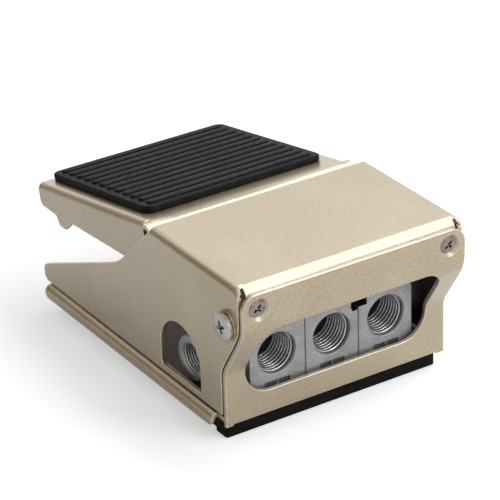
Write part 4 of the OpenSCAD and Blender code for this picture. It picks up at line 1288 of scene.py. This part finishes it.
def white_floor():
    """White paper that keeps the shadow, lifted to white for the camera."""
    bm = bmesh.new()
    bmesh.ops.create_grid(bm, x_segments=1, y_segments=1, size=FLOOR_SIZE)
    floor = made("floor", bm, Matrix.Translation((0, 0, -FLOOR_DROP)))
    paper = Finish("floor_white", Base_Color=(0.9, 0.9, 0.9, 1), Roughness=0.9, Specular_IOR_Level=0.1,
                   Emission_Color=(1, 1, 1, 1))
    tree = paper.tree
    glint = add_math(tree, "MULTIPLY", shown_to_eye(tree), FLOOR_GLINT)
    direct = add_node(tree, "ShaderNodeLightPath", "Is Camera Ray")
    lift = add_math(tree, "MULTIPLY_ADD", direct, FLOOR_LIFT - FLOOR_GLINT, glint)
    paper.link("Emission Strength", lift)
    floor.data.materials.append(paper.material)


def studio_world():
    """White backdrop that reflections see fall off to a warm dark on the side away from the lamps."""
    world = bpy.data.worlds.new("studio")
    bpy.context.scene.world = world
    world.use_nodes = True
    tree = world.node_tree
    tree.nodes.clear()
    way = add_node(tree, "ShaderNodeTexCoord", "Generated")
    side = add_node(tree, "ShaderNodeVectorMath", "Value", {"operation": "DOT_PRODUCT"},
                    {0: way, 1: Vector(DIM_SIDE).normalized()})
    fall = add_node(tree, "ShaderNodeMapRange", "Result", {"interpolation_type": "SMOOTHSTEP"}, Value=side,
                    From_Min=DIM_ZONE[0], From_Max=DIM_ZONE[1], To_Min=0.0, To_Max=1.0)
    direct = add_node(tree, "ShaderNodeLightPath", "Is Camera Ray")
    away = add_math(tree, "SUBTRACT", fall, direct, clamp=True)

    def backdrop(colour, strength):
        return add_node(tree, "ShaderNodeBackground", Color=(*colour, 1), Strength=strength)

    def mixed(factor, first, second):
        return add_node(tree, "ShaderNodeMixShader", sockets={0: factor, 1: first, 2: second})

    seen = mixed(away, backdrop((1, 1, 1), 1.0), backdrop(DIM_COLOUR, DIM_LEVEL))
    whole = mixed(shown_to_eye(tree), backdrop((1, 1, 1), AMBIENT), seen)
    tree.links.new(whole, tree.nodes.new("ShaderNodeOutputWorld").inputs["Surface"])


def soft_box(name, direction, distance, length, width, power):
    """Flat lamp that looks at the part from a direction."""
    lamp = bpy.data.lights.new(name, "AREA")
    lamp.shape = "RECTANGLE"
    lamp.size = length
    lamp.size_y = width
    lamp.energy = power
    obj = placed(name, lamp)
    back = Vector(direction).normalized()
    obj.location = LAMP_AIM + back * distance
    obj.rotation_euler = back.to_track_quat("Z", "Y").to_euler()
    obj.visible_camera = False


white_floor()
studio_world()
soft_box("top_box", (0.47, 0.06, 0.88), 0.85, 1.1, 0.4, 4.0)
soft_box("key_box", (0.4, -0.75, 0.5), 0.9, 0.45, 0.45, 2.8)


# Camera, placed by the photograph's own view of the housing
CAMERA_PLACE = (-0.41001, -0.65605, 0.43063)
CAMERA_YAW = 0.5625
CAMERA_PITCH = 0.4772
CAMERA_ROLL = -0.0305
CAMERA_LENS = 199.07


def photo_camera():
    """Camera turned by its yaw, pitch and roll."""
    data = bpy.data.cameras.new("camera")
    data.sensor_width = 36.0
    data.lens = CAMERA_LENS
    data.clip_start = 0.05
    data.clip_end = 10.0
    turn = Matrix.Rotation(-CAMERA_YAW, 4, "Z") @ Matrix.Rotation(math.pi / 2 - CAMERA_PITCH, 4, "X")
    obj = placed("camera", data)
    obj.matrix_world = Matrix.Translation(CAMERA_PLACE) @ turn @ Matrix.Rotation(CAMERA_ROLL, 4, "Z")
    bpy.context.scene.camera = obj


photo_camera()
bpy.context.scene.view_settings.view_transform = "Standard"
